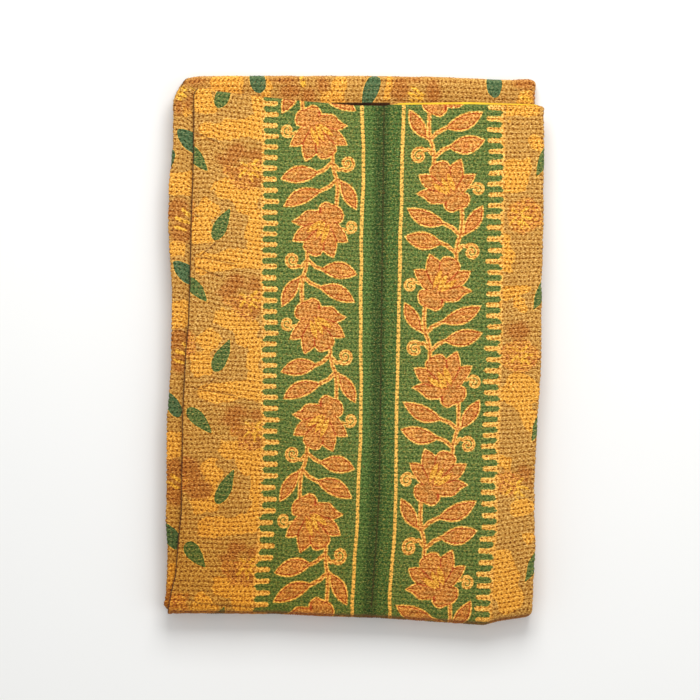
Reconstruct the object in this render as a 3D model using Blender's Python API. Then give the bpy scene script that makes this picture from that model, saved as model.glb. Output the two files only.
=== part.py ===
"""Kantha quilt, folded to a sixteenth of its flat size and lying on its underside.

It is one quilted cloth with its hem, folded in half and in half again across its
width, then in half and in half again along its length, so it lies in four packs of
four levels. Both fold paths run alike: free edge, level 1, wide outer turn, level 4,
single turn, level 3, turn nested inside the outer one, level 2, free edge.
The printed face is outside. +X is to the right, +Y towards the two stacked free ends.
"""

from collections import namedtuple

import bpy
import numpy as np

MM = 0.001

# ---- driving dimensions ----
CLOTH_THICKNESS = 1.6 * MM      # two or three thin cottons quilted together
LEVEL_GAP = 0.5 * MM            # air between neighbouring levels
HEM_ROUNDING = 0.5 * MM         # how far the rounded lip of the hem stands out

LEFT_FOLD = -189.5 * MM         # outside of the single turn, across the width
RIGHT_FOLD = 194.0 * MM         # outside of the wide turn, across the width
TOP_HEM_X = -169.0 * MM         # free side hem of level 1
SECOND_HEM_X = -167.0 * MM      # free side hem of level 2
SIDE_TURN_RADIUS = 2.6 * MM     # middle of the cloth, at each corner of the wide turn
SIDE_TURN_SLACK = 1.0 * MM      # room between the nested turn and the wide one

TOP_FOLD = 283.0 * MM           # outside of the single turn, along the length
BOTTOM_FOLD = -273.0 * MM       # outside of the wide turn, along the length
TOP_HEM_Y = 253.5 * MM          # free end hem of pack 1
SECOND_HEM_Y = 248.0 * MM       # free end hem of pack 2
END_TURN_RADIUS = 6.5 * MM      # middle of the pack, at each corner of the wide turn
END_TURN_SLACK = 2.0 * MM       # room between the nested turn and the wide one

PILLOW_RISE = 1.4 * MM          # how much higher the middle lies than the edges
CREASE_SINK = 0.5 * MM          # shallow valley of an old fold, left of the middle
CREASE_X = 27.0 * MM
CREASE_SPREAD = 40.0 * MM

COTTON_COLOUR = (0.694, 0.392, 0.076, 1.0)

# ---- grid of the cloth: all levels share these lines, so they sag alike ----
LINES_ACROSS = (-140, -85, -30, 35, 90, 144, 160)
LINES_ALONG = (-235, -170, -105, -35, 45, 120, 190, 247)
WIDE_TURN_STEPS = 3             # for each of its two corners
NESTED_TURN_STEPS = 5
SINGLE_TURN_STEPS = 6

# ---- uneven outlines of the folded pile, in mm; upper = pack 1, lower = the packs under it ----
# columns: y, x of the left fold
UPPER_LEFT = ((-272, -191.5), (-262, -195.7), (-249, -192.5), (-222, -191), (-180, -193.6),
              (-77, -192.6), (-15, -188.5), (67, -187.5), (129, -191.6), (170, -190.5),
              (211, -186.4), (257, -186.2), (263, -184), (269, -180.5), (274, -176))
LOWER_LEFT = ((-272, -191.5), (-262, -193.6), (-15, -186.4), (211, -186), (258, -185.9),
              (267, -183), (272, -180), (277, -176.9), (281, -173.5), (284, -167))
# columns: y, x of the side hem
UPPER_HEM = ((-271, -192), (-250, -188.5), (-232, -184), (-192, -180.5), (-166, -177.9),
             (-67, -176.6), (-1, -173.3), (26, -170.7), (72, -168.9), (134, -167.6),
             (206, -165.3), (270, -165))
LOWER_HEM = ((-271, -191.5), (-150, -184), (258, -180.5), (272, -178), (277, -176.5), (281.5, -173),
             (284, -168))
# columns: y, x of the right fold
UPPER_RIGHT = ((-276, 179), (-270, 183.3), (-242, 184.4), (-201, 186.4), (-139, 185.4),
               (-77, 188.5), (-15, 192.6), (67, 192.8), (129, 195), (249, 195.4),
               (252, 193.6), (253.4, 190.6))
LOWER_RIGHT = ((-271, 183), (-51, 182.3), (256, 186), (278, 187.5), (284, 184))
# columns: x, y of the upper single turn
TOP_LINE = ((-176, 280), (-168, 282.2), (-158, 283.3), (11, 283.2), (89, 282.2),
            (120, 281), (150, 279.3), (166, 279), (181, 280), (188, 278))
# columns: x, y of the bottom edge
BOTTOM_LINE = ((-196, -270.9), (-81, -271.9), (-35, -274), (27, -276), (73, -279.1),
               (104, -281.2), (135, -283.4), (150, -279.3), (166, -277), (181, -274.5))
# columns: x, y of the free end hem, for levels 1, 2 and the folded pair under them
END_HEM = {
    "first": ((-166, 268.8), (-147, 270), (-141, 266.3), (-86, 259.6), (-45, 255.4), (6, 252.9),
              (37, 252.3), (120, 252.9), (192, 251.3)),
    "second": ((-166, 265.7), (-45, 251.3), (32, 249.3), (42, 254.4), (120, 255.4),
               (150, 254.4), (192, 252.9)),
    "pair": ((-187, 277), (-176, 276), (-169, 270), (-158, 263), (-107, 254.4), (-45, 250.3),
             (6, 248.2), (192, 250.3)),
}


def read(table, value):
    """The second column of a table in mm, found along its first."""
    first, second = np.array(table).T * MM
    return np.interp(value, first, second)


# reach is 0 at the free edges and 1 at the wide turn; first and second are the shares of levels 1 and 2.
Stations = namedtuple("Stations", "along height normal_along normal_height reach first second")


class Path:
    """Stations along a fold path: where the middle of the cloth runs and which way it faces."""

    def __init__(self):
        self.rows = []

    def add(self, along, height, angle, reach, first, second):
        self.rows.append((along, height, angle, reach, first, second))

    def run(self, lines, start, end, height, angle, near, first=0.0, second=0.0):
        """A straight level, with a station on each grid line between its ends."""
        inner = sorted(a for a in lines if min(start, end) < a < max(start, end))
        if end < start:
            inner.reverse()
        far = max(start, end)
        for along in (start, *inner, end):
            self.add(along, height, angle, (along - near) / (far - near), first, second)

    def turn(self, along, height, radius, angles, steps, reach, first=(0, 0), second=(0, 0)):
        """Part of a circle; a radius below zero turns towards the printed face."""
        for part in np.linspace(0, 1, steps + 1)[1:-1]:
            angle = angles[0] + (angles[1] - angles[0]) * part
            self.add(along - radius * np.sin(angle), height + radius * np.cos(angle), angle, reach,
                     first[0] + (first[1] - first[0]) * part,
                     second[0] + (second[1] - second[0]) * part)

    def stations(self):
        along, height, angle, reach, first, second = np.array(self.rows).T
        return Stations(along, height, -np.sin(angle), np.cos(angle), reach, first, second)


def fold_path(lines, near, far, hems, thickness, radius, slack):
    """One strip folded in half twice, seen from the side, from its free edge on level 1."""
    half = thickness / 2
    pitch = thickness + LEVEL_GAP
    levels = [(1.5 - level) * pitch for level in range(4)]
    turn_start = far - half - radius
    nested_start = far - 3 * half - LEVEL_GAP - slack - pitch / 2
    single_start = near + half + pitch / 2
    quarter = np.pi / 2

    path = Path()
    path.run(lines, hems[0], turn_start, levels[0], 0, hems[0], first=1)
    path.turn(turn_start, levels[0] - radius, radius, (0, -quarter), WIDE_TURN_STEPS, 1, (1, 0.5))
    path.add(far - half, levels[0] - radius, -quarter, 1, 0.5, 0)
    path.add(far - half, levels[3] + radius, -quarter, 1, 0.5, 0)
    path.turn(turn_start, levels[3] + radius, radius, (-quarter, -2 * quarter), WIDE_TURN_STEPS, 1,
              (0.5, 0))
    path.run(lines, turn_start, single_start, levels[3], -2 * quarter, single_start)
    path.turn(single_start, (levels[2] + levels[3]) / 2, pitch / 2, (-2 * quarter, -4 * quarter),
              SINGLE_TURN_STEPS, 0)
    path.run(lines, single_start, nested_start, levels[2], -4 * quarter, single_start)
    path.turn(nested_start, (levels[1] + levels[2]) / 2, -pitch / 2, (-4 * quarter, -2 * quarter),
              NESTED_TURN_STEPS, 1, second=(0, 1))
    path.run(lines, nested_start, hems[1], levels[1], -2 * quarter, hems[1], second=1)
    return path.stations()


def ease_across(plan_x, y, path, lower):
    """Moves points from the straight-sided plan out to the uneven side outlines."""
    left, hem, right = (read(upper, y) * (1 - lower) + read(under, y) * lower for upper, under in
                        ((UPPER_LEFT, LOWER_LEFT), (UPPER_HEM, LOWER_HEM), (UPPER_RIGHT, LOWER_RIGHT)))
    free = path.first + path.second
    return (plan_x + path.reach * (right - RIGHT_FOLD)
            + (1 - path.reach) * (free * (hem - TOP_HEM_X) + (1 - free) * (left - LEFT_FOLD)))


def ease_along(plan_y, x, path, across):
    """The same for the outlines of the two ends."""
    hems = (across.first * read(END_HEM["first"], x) + across.second * read(END_HEM["second"], x)
            + (1 - across.first - across.second) * read(END_HEM["pair"], x))
    free = path.first + path.second
    return (plan_y + path.reach * (read(BOTTOM_LINE, x) - BOTTOM_FOLD)
            + (1 - path.reach) * (free * (hems - TOP_HEM_Y) + (1 - free) * (read(TOP_LINE, x) - TOP_FOLD)))


def fold_both_ways(across, along, side):
    """The points of one face of the cloth, side being its distance from the cloth's middle."""
    across = Stations(*(column[:, None] for column in across))
    along = Stations(*(column[None, :] for column in along))
    plan_x = across.along + side * across.normal_along
    rise = across.height + side * across.normal_height
    plan_y = -(along.along + rise * along.normal_along)
    z = along.height + rise * along.normal_height

    # Pack 2 is like pack 1 at its free end and like the packs under it at its turn.
    lower = 1 - along.first - along.second * (1 - along.reach)
    y = plan_y
    for _ in range(2):
        x = ease_across(plan_x, y, across, lower)
        y = ease_along(plan_y, x, along, across)
    return np.stack([x, y, z], axis=-1)


def settle(points, height):
    """Raises the middle and sinks the old crease, more the higher a point lies, and not at all below."""
    x, y, z = np.moveaxis(points, -1, 0)
    pillow = PILLOW_RISE * (1 - (x / RIGHT_FOLD) ** 2) * (1 - (y / TOP_FOLD) ** 2)
    crease = CREASE_SINK * np.exp(-((x - CREASE_X) / CREASE_SPREAD) ** 2)
    points[..., 2] = z + (pillow - crease) * (z / height) ** 2
    return points


def grid_triangles(corners, index, outward):
    """Splits each cell along the diagonal that rises to the right in plan, the same on every level."""
    a, b, c, d = (index[:-1, :-1], index[1:, :-1], index[1:, 1:], index[:-1, 1:])
    flat = corners.reshape(-1, 3)
    to_c = flat[c.ravel()] - flat[a.ravel()]
    rises = (to_c[:, 0] * to_c[:, 1] > 0)[:, None]
    a, b, c, d = (v.ravel() for v in (a, b, c, d))
    along_ac = np.stack([a, b, c, a, c, d], axis=1)
    along_bd = np.stack([a, b, d, b, c, d], axis=1)
    faces = np.where(rises, along_ac, along_bd).reshape(-1, 3)
    return faces if outward else faces[:, ::-1]


def rim_of(rows, columns):
    """Row and column of each point round the border of the grid, in order."""
    return ([(i, 0) for i in range(rows - 1)] + [(rows - 1, j) for j in range(columns - 1)]
            + [(i, columns - 1) for i in range(rows - 1, 0, -1)] + [(0, j) for j in range(columns - 1, 0, -1)])


def cloth_mesh(printed, lining):
    """Joins the two faces with a rounded lip, the hem, round their border."""
    rows, columns = printed.shape[:2]
    count = rows * columns
    index = np.arange(count).reshape(rows, columns)
    middle = (printed + lining) / 2

    lip, joins = [], []
    rim = rim_of(rows, columns)
    for i, j in rim:
        inner = middle[min(max(i, 1), rows - 2), min(max(j, 1), columns - 2)]
        outward = middle[i, j] - inner
        lip.append(middle[i, j] + outward / np.linalg.norm(outward) * HEM_ROUNDING)
    for k, (i, j) in enumerate(rim):
        after = (k + 1) % len(rim)
        top, top_after = index[i, j], index[rim[after]]
        edge, edge_after = 2 * count + k, 2 * count + after
        joins += [(top, top_after, edge), (top_after, edge_after, edge),
                  (edge, edge_after, top + count), (edge_after, top_after + count, top + count)]

    points = np.concatenate([printed.reshape(-1, 3), lining.reshape(-1, 3), np.array(lip)])
    faces = np.concatenate([grid_triangles(printed, index, False),
                            grid_triangles(lining, index, True) + count, np.array(joins)])
    return points, faces


def cotton(name, colour):
    """Soft washed cotton: no shine."""
    material = bpy.data.materials.new(name)
    material.use_nodes = True
    shader = material.node_tree.nodes["Principled BSDF"]
    shader.inputs["Base Color"].default_value = colour
    shader.inputs["Roughness"].default_value = 0.9
    material.diffuse_color = colour
    return material


def build_quilt():
    half = CLOTH_THICKNESS / 2
    pack = 4 * CLOTH_THICKNESS + 3 * LEVEL_GAP
    height = 4 * pack + 3 * LEVEL_GAP
    across = fold_path([line * MM for line in LINES_ACROSS], LEFT_FOLD, RIGHT_FOLD,
                       (TOP_HEM_X, SECOND_HEM_X), CLOTH_THICKNESS, SIDE_TURN_RADIUS, SIDE_TURN_SLACK)
    along = fold_path([line * MM for line in LINES_ALONG], -TOP_FOLD, -BOTTOM_FOLD,
                      (-TOP_HEM_Y, -SECOND_HEM_Y), pack, END_TURN_RADIUS, END_TURN_SLACK)
    faces = []
    for side in (half, -half):
        points = fold_both_ways(across, along, side)
        points[..., 2] += height / 2
        faces.append(settle(points, height))
    points, triangles = cloth_mesh(*faces)
    # The pile stands centred on the origin, on its lowest level.
    low, high = points.min(axis=0), points.max(axis=0)
    points -= [(low[0] + high[0]) / 2, (low[1] + high[1]) / 2, low[2]]

    mesh = bpy.data.meshes.new("quilt")
    mesh.from_pydata(points.tolist(), [], triangles.tolist())
    mesh.materials.append(cotton("printed cotton", COTTON_COLOUR))
    quilt = bpy.data.objects.new("quilt", mesh)
    bpy.context.scene.collection.objects.link(quilt)


for leftover in list(bpy.data.objects):
    bpy.data.objects.remove(leftover)
build_quilt()
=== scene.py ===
"""Folded kantha quilt: block-printed cotton with rows of running stitch, lying in a flat pile.

The printed face follows the folds of the solid it stands for. Its grid lines run along the
rows of stitching, so the valleys of the quilting are real shape, and so are the stitches.
"""

import math
from collections import namedtuple
from functools import reduce

import bpy
import numpy as np
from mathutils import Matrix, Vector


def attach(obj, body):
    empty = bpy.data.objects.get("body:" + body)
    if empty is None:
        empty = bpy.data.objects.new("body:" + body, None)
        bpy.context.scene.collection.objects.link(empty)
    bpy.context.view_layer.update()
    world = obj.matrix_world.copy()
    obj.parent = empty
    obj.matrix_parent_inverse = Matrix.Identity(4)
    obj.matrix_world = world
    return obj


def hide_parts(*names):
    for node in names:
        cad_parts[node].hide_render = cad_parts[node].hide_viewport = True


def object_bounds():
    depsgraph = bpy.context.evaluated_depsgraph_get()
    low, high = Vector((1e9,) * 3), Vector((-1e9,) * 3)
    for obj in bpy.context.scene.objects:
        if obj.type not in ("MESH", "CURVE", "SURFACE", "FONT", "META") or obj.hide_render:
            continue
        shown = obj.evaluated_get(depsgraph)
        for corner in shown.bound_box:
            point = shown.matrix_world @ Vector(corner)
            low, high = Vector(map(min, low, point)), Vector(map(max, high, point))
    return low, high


bl_info = {
    "name": "Folded kantha quilt",
    "version": (1, 0, 0),
    "blender": (4, 5, 0),
    "location": "3D View > Sidebar > Kantha",
    "description": "Folded block-printed quilt with rows of running stitch",
    "category": "Object",
}

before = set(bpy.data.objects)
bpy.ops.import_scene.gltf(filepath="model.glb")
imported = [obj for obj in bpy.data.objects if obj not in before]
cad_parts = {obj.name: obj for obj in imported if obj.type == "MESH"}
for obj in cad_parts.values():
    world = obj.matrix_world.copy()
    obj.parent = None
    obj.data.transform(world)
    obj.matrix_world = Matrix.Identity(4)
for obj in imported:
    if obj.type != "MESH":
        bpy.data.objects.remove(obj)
CAD_BOX = [list(corner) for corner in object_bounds()]
MM = 0.001

# ---- folds, as in the solid ----
LEFT_FOLD = -189.5 * MM
RIGHT_FOLD = 194.0 * MM
TOP_HEM_X = -169.0 * MM
SECOND_HEM_X = -167.0 * MM
SIDE_TURN_RADIUS = 2.6 * MM
SIDE_TURN_SLACK = 1.0 * MM
TOP_FOLD = 283.0 * MM
BOTTOM_FOLD = -273.0 * MM
TOP_HEM_Y = 253.5 * MM
SECOND_HEM_Y = 248.0 * MM
END_TURN_RADIUS = 6.5 * MM
END_TURN_SLACK = 2.0 * MM
PILLOW_RISE = 1.4 * MM
CREASE_SINK = 0.5 * MM
CREASE_X = 27.0 * MM
CREASE_SPREAD = 40.0 * MM

# ---- spacing of the cloth's grid ----
COLUMN_SPACING = 2.4 * MM       # along the rows of stitches
HIDDEN_SPACING = 24.0 * MM
EDGE_BAND = 26.0 * MM           # of level 3, as wide as shows beside the side hem
END_BAND = 38.0 * MM            # of pack 3, as long as shows above the end hem
SIDE_TURN_STEPS = (3, 5, 8)     # wide (each corner), nested and single turn
END_TURN_STEPS = (8, 5, 8)

# ---- uneven outlines of the folded pile, in mm; upper = pack 1, lower = the packs under it ----
# columns: y, x of the left fold
UPPER_LEFT = (
    (-272, -191.5), (-262, -195.7), (-249, -192.5), (-222, -191), (-180, -193.6), (-77, -192.6),
    (-15, -188.5), (67, -187.5), (129, -191.6), (170, -190.5), (211, -186.4), (257, -186.2), (263, -184),
    (269, -180.5), (274, -176),
)
LOWER_LEFT = (
    (-272, -191.5), (-262, -193.6), (-15, -186.4), (211, -186), (258, -185.9), (267, -183), (272, -180),
    (277, -176.9), (281, -173.5), (284, -167),
)
# columns: y, x of the side hem
UPPER_HEM = (
    (-271, -192), (-250, -188.5), (-232, -184), (-192, -180.5), (-166, -177.9), (-67, -176.6),
    (-1, -173.3), (26, -170.7), (72, -168.9), (134, -167.6), (206, -165.3), (262, -165), (266, -163.8),
    (270, -160.5),
)
LOWER_HEM = (
    (-271, -191.5), (-150, -184), (258, -180.5), (272, -178), (277, -176.5), (281.5, -173), (284, -168),
)
# columns: y, x of the right fold
UPPER_RIGHT = (
    (-276, 179), (-270, 183.3), (-242, 184.4), (-201, 186.4), (-139, 185.4), (-77, 188.5), (-15, 192.6),
    (67, 192.8), (129, 195), (249, 195.4), (252, 193.6), (253.4, 190.6),
)
LOWER_RIGHT = ((-271, 183), (-51, 182.3), (256, 186), (278, 187.5), (284, 184))
# columns: x, y of the upper single turn
TOP_LINE = (
    (-176, 280), (-168, 282.2), (-158, 283.3), (11, 283.2), (89, 282.2), (120, 281), (150, 279.3),
    (166, 279), (181, 280), (188, 278),
)
# columns: x, y of the bottom edge
BOTTOM_LINE = (
    (-196, -270.9), (-81, -271.9), (-35, -274), (27, -276), (73, -279.1), (104, -281.2), (135, -283.4),
    (150, -279.3), (166, -277), (181, -274.5),
)
# columns: x, y of the free end hem, for levels 1, 2 and the folded pair under them
END_HEM = {
    "first": ((-166, 268.8), (-147, 270), (-141, 266.3), (-86, 259.6), (-45, 255.4), (-17, 253.2),
              (0, 251.5), (32, 251.2), (38, 252.3), (120, 252.9), (192, 251.3)),
    "second": ((-166, 265.7), (-45, 251.3), (32, 249.3), (42, 254.4), (120, 255.4),
               (150, 254.4), (192, 252.9)),
    "pair": ((-187, 277), (-176, 276), (-169, 270), (-158, 263), (-107, 254.4), (-45, 250.3),
             (6, 248.2), (192, 250.3)),
}

# ---- creases and the tuck of the top, in mm ----
# columns: x and y of one end, x and y of the other, depth (raised if below 0), half-width
CREASES = (
    (-165, 97, -124, 89, 0.9, 1.6), (-168, 88, -136, 75, 0.7, 1.5), (-142, 111, -158, 97, 0.6, 1.4),
    (-165, 224, -141, 215, 0.8, 1.6), (-164, -40, -122, -47, 0.8, 1.6), (-145, -30, -155, -40, 0.6, 1.4),
    (31, 250, 26, -150, 1.1, 2.0), (26, -150, 18, -265, 0.9, 2.0), (130, -226, 150, -268, 0.5, 3.0),
    (112, -205, 140, -250, 0.4, 4.0), (-60, -262, 60, -266, 0.5, 3.0), (-150, 262, -60, 256, -0.5, 5.0),
    (-178, -252, -160, -261, 0.8, 1.6), (-160, -261, -100, -265.5, 0.8, 1.5),
    (-168, -247, -130, -256, 0.5, 3.0),
)

TUCK = (7, 252.8, 30, 2.6)      # x, y, half-width and half-height of the painted shade in the tuck under the end hem

# ---- the print, in mm ----
# Where its lengthwise lines run: y, x of the left comb's tips, both stripe lines and the right comb's tips
PRINT_RUN = (
    (270, -78.6, 8.7, 51.6, 138.8),
    (165, -78.2, 9.8, 49.1, 138.0),
    (103, -78.4, 7.2, 47.6, 137.0),
    (-28, -78.3, 7.4, 44.8, 134.2),
    (-93, -78.0, 7.6, 43.5, 133.0),
    (-147, -79.8, 4.1, 43.0, 131.5),
    (-203, -83.2, 2.1, 41.4, 129.3),
    (-258, -88.3, -1.3, 36.5, 124.8),
)
# Towards the bottom the print lies lower than its even spacing: y, and how much.
PRINT_DROP = ((-270, 9.3), (-239, 7.7), (-196, 5.2), (-154, 2.7), (-113, 0))
# The ground print at the left strays from the borders: y, then how far to the right and how far down.
GROUND_STRAYS = (
    (-270, 4.5, -6), (-220, 5, -5.5), (-156, 6, -3), (-75, 4, -1), (-35, 1, 0), (20, 0, 0),
    (100, 0, 1.5), (200, 0, 3), (240, 4.5, 2),
)
COMB_TIPS = -78.3               # of the yellow fingers; these are the straightened places
COMB_ROOTS = -93.7              # round ends of the green gaps
STRIPE_LINE = 8.95
STRIPE_LINE_HALF = 1.75
STRIPE_MIDDLE = 30.15           # the print right of here is the left of it turned half round
FINGER_SPACING = 11.28
FINGER_HALF = 2.45
FINGER_STRAY = 3.0              # between the shortest finger and the longest
GAP_HALF = 3.1
COMB_START = (254.8, 249.6)     # a finger's y, left and right
VINE_SPACING = 99.6             # from flower to flower
VINE_START = (234.0, 158.5)     # y of a left flower that isn't mirrored, and of a right one
FLOWER_PLACES = (-42.2, -28.2)  # across, for plain flowers and for the mirrored ones between them
VINE_CUTS = (24.0, -4.0)        # how far above a flower's middle a repeat is cut, for flowers and for leaves

# One repeat of the vine. It starts where the flower's petals meet; down is positive.
# columns: degrees round from the right, reach of the petals, True at a tip or a notch
PETALS = (
    (-180, 18.2, False), (-164, 19.4, False), (-145, 19.6, False), (-125, 18.2, False),
    (-108, 17.3, False), (-92, 18.4, False), (-70, 16.6, False), (-46, 12.8, True), (-33, 17.6, False),
    (-22, 23.4, False), (-8, 27.6, False), (3, 36.5, True), (16, 27, True), (22, 33, False),
    (33, 41.4, True), (45, 32.8, True), (53, 38, False), (65, 39.4, False), (76, 38.6, False),
    (85, 32.6, True), (102, 40.7, True), (117, 26.4, True), (125, 30, False), (135, 33.7, True),
    (145, 25, False), (154, 17.9, False), (162, 13.5, True), (174, 17.4, False), (180, 18.2, False),
)
PETAL_SEAMS = (-46, 16, 45, 85, 117, 162)   # degrees at which two petals meet
PETAL_CURVE_TOP = 50            # more than the longest petal
PETAL_STEP = 1 / 240            # of a turn, over which the slope of the outline is measured
LEAF_SLANT = 0.88               # distance square to a leaf's edge, over the one across the leaf
# columns: base x, y, tip x, y, half-width, bend
LEAVES = (
    (5.8, 50.4, -33.2, 58.0, 9.2, 1.6), (9.0, 69.6, -31.5, 86.4, 8.6, 2.6),
    (26.5, 58.5, 45.8, 89.6, 7.4, -0.8),
)
STAMENS = (
    (3.4, 0.8, 21.0, 13.8, 3.2, 0.0), (1.4, 1.2, 11.2, 20.2, 3.1, 0.0), (-3.0, 3.8, 5.2, 25.0, 3.3, 0.0),
)
STEM_HALF = 2.25
STEM_INK = 1.55                 # stems show no more than this depth of a motif: outline and red line
CURL_PITCH = 0.61               # from one turn of a curl to the next, over its radius
STEMS = (
    ((19.1, 31.5), (19.4, 43), (21.4, 52.6), (24, 59), (25, 72), (24.5, 88)),
    ((18.8, 40.5), (10.2, 48), (2.6, 51.2)),
    ((23.6, 58), (16.5, 65.4), (6.6, 70.2)),
    ((24, 58.5), (28.5, 61.5)),
)
# columns: centre x, y, radius, degrees where it starts, which way it winds, half-width, and its stalk
CURLS = {
    "flower": (-25.8, 7.0, 6.9, 55, 1, 1.6, ((-17, 9.5), (-22.8, 11.3))),
    "stem": (34.4, 41.6, 8.1, 125, -1, 1.9, ((21.7, 43.5), (25.5, 48.4), (30.7, 46.9))),
}

# The ground print repeats down the cloth. Places are in mm; down is positive.
GROUND_REPEAT = 136.6
GROUND_START = 195.7            # y of one repeat's start
GROUND_LEAD = 40                # how far above its start a repeat's shapes begin
# columns: centre x, down, half-width, half-height, degrees
BRIGHT_PATCHES = (
    (-130, -34, 33, 10, -6), (-101, -42, 9, 18, 0), (-121, 29, 24, 9, 14), (-112, 42, 10, 11, -25),
    (-149, 48, 12, 10, 35), (-158, 72, 11, 15, -12), (-103, 64, 8, 17, 8),
)
BROWN_PATCHES = (
    (-122, -8, 12, 10, 8), (-102, -7, 10, 8, 10), (-132, -1, 9, 6, 20), (-102, 17, 8, 8, 0),
    (-120, 13, 10, 4, 30),
)
# The yellow petals inside it: centre x, down, half-width, half-height, degrees
INNER_PETALS = ((-112, 0, 8, 5, 30), (-104, 2, 9, 5, 0), (-109, 8, 6, 6, 0))
# Thin stems: x, down of both ends, half-width
GROUND_STEMS = (
    (-145.2, -52, -155.5, -38, -0.3), (-169, -37.7, -153.5, -36.7, -0.3),
    (-153.5, -36.7, -126, -30, -0.3), (-169, -30.5, -136, -16.1, -0.2),
)
RUSTY_PATCHES = (
    (-110, 14, 17, 14, -20), (-96, 2, 8, 14, 0), (-128, 8, 7, 6, 0), (-178, 50, 15, 17, 0),
)
# Parts of the ground print that are seen once: centre x, y, half-width, half-height, degrees
LONE_BRIGHTS = (
    (175, 246, 20, 8, 4), (187, 213, 7, 7, 40), (166, 179, 14, 19, -8), (157, 98, 7, 18, 5),
    (167, 61, 14, 7, 12), (171, 46, 8, 6, -35), (172, -42, 19, 18, -30), (182, -72, 8, 15, 20),
    (152, -115, 11, 7, -20), (172, -164, 13, 9, 25), (181, -194, 6, 7, 30), (157, -240, 14, 32, 10),
    (-153, -158, 15, 8, 15),
)
LONE_BROWNS = (
    (-168, -122, 13, 11, -30), (-160, -143, 13, 12, 20), (170, 18, 13, 9, 0), (177, -130, 8, 9, 0),
)
LONE_RUSTY = (
    (175, 138, 18, 20, 0), (171, -6, 20, 16, 0), (159, -138, 15, 14, 0),
)
# A flower's yellow strokes, from its middle; up is positive: x, y of both ends, half-width
STAR = (
    (2, 3, 8, 9, 1.4), (3, 0, 12, -1, 1.4), (2, -4, 9, -9, 1.4), (-1, -5, 2, -13, 1.4),
    (-4, -2, -10, -8, 1.3), (-3, 3, -9, 7, 1.2),
)
STAR_DOWN = 6                   # of the left flowers' middles, at x = STAR_X
STAR_X = -108
LONE_STARS = ((171, 137), (172, -4), (166, -142))
# columns: base x, down, tip x, down, half-width
GROUND_LEAVES = (
    (-145, 80.8, -127, 45.6, 7.4), (-174, -16.5, -149.8, 10.3, 7.4), (203, -14, 187.5, 19, 6.4),
)
# Seen on the strip of level 3 at the left: base x, y, tip x, y, half-width, how pointed
STRIP_LEAVES = (
    (-155, 203.5, -182.2, 226.8, 9.4, 0.75), (-160.7, 68, -186.8, 92.4, 8.8, 0.75),
    (-179.5, -69, -194.8, -42.4, 7.2, 0.75), (-180.5, -205, -195.6, -177.6, 7.4, 0.75),
    (-190, 208, -191, 185, 6.5),
)
# columns: centre x, y, half-width, half-height, degrees
STRIP_BROWNS = (
    (-182, 144, 12, 12, 20), (-177, 122, 12, 12, -20), (-182, 11, 12, 12, 20), (-177, -12, 12, 13, -20),
    (-186, -124, 12, 12, 20), (-181, -148, 12, 13, -20), (-166, 278, 11, 6, 0), (-181, 250, 6, 8, 0),
    (-169.5, 256, 5, 10, -15), (-190, -256, 9, 11, 0),
)
STRIP_BRIGHTS = (
    (-180, 170, 16, 12, 0), (-172, 247, 4, 6, 0), (-180, 38, 14, 14, 10), (-186, -98, 14, 15, 0),
    (-182, 104, 10, 8, 0), (-188, -235, 10, 16, 0),
)
STRIP_STROKES = (
    (-176, 144, -170, 138, 1.6), (-183, 136.5, -171, 131, 1.7), (-184, 127.7, -174, 123.6, 1.6),
    (-176, 7.4, -170, 1.4, 1.6), (-183, 0, -171, -5.6, 1.7), (-184, -9, -174, -13, 1.6),
    (-188, -129, -180, -135, 1.7), (-190, -138, -182, -143, 1.6), (-183, 268, -175, 262, 1.8),
    (-181, 273, -174, 269, 1.6), (-184, 262, -178, 257, 1.6),
)
# On the band of pack 3 above the end hem
BAND_LEAVES = (
    (-97.5, 265.5, -103, 305, 8.3), (23.5, 284.5, 8, 243, 7.8), (145.2, 259.5, 143, 302, 8.2),
)
BAND_BROWNS = (
    (-72, 279, 14, 5, 0), (-65, 268, 12, 9, 0), (-46, 262, 8, 9, 0), (-32, 274, 6, 9, 0),
    (48, 269, 10, 14, 0), (82, 268, 8, 14, 0), (62, 280, 10, 4, 0), (177, 275, 13, 7, -10),
    (187, 262, 4, 8, 0), (-164, 278, 12, 5, 0),
)
BAND_BRIGHTS = (
    (-131, 272, 18, 14, 0), (-91, 270, 5, 14, 0), (-20, 262, 12, 8, 0), (-16, 276, 9, 7, 0),
    (34, 270, 5, 14, 0), (178, 259, 8, 6, 0),
)
BAND_STROKES = (
    (-54, 284, -51, 274, 2.6), (60, 271, 71, 263, 1.8), (57, 264, 70, 258, 1.8), (58, 258, 66, 254, 1.6),
    (174, 261, 183, 257, 1.8),
)

# ---- sewing ----
STITCH_SPACING = 4.8            # mm, in a row
STITCH_STEP = 0.35              # of a grid cell, over which a stitch's direction is measured
STITCH_RISE = 0.12 * MM         # of a stitch's middle above the cloth
SKIPPED_STITCHES = 0.012        # share
FLATTENED = 0.6                 # a stitch's height over its width
SIDE_HEM_LINE = 4.6 * MM        # of stitches, from the edge
END_HEM_LINE = 2.6 * MM
HEM_STITCH = 4.6 * MM           # from one to the next
HEM_STITCH_RISE = 0.15 * MM

# ---- values that tell the material where a point is ----
PANEL_SIGN = 20.0               # positive on the top panel, negative on other parts
FAR_OUTSIDE = -9.0              # mm from a shape that isn't there

# ---- wear and painted shade: factors on linear red, green and blue, or powers of the tone ----
OCHRE_DEPTH = (1.0, 1.45, 2.4)
GREEN_DEPTH = (1.2, 1.0, 1.25)
WASHED_TINT = (1.05, 1.05, 1.13)
BOTTOM_LEFT_SHADE_TINT = (0.85, 0.73, 0.43)

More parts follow.
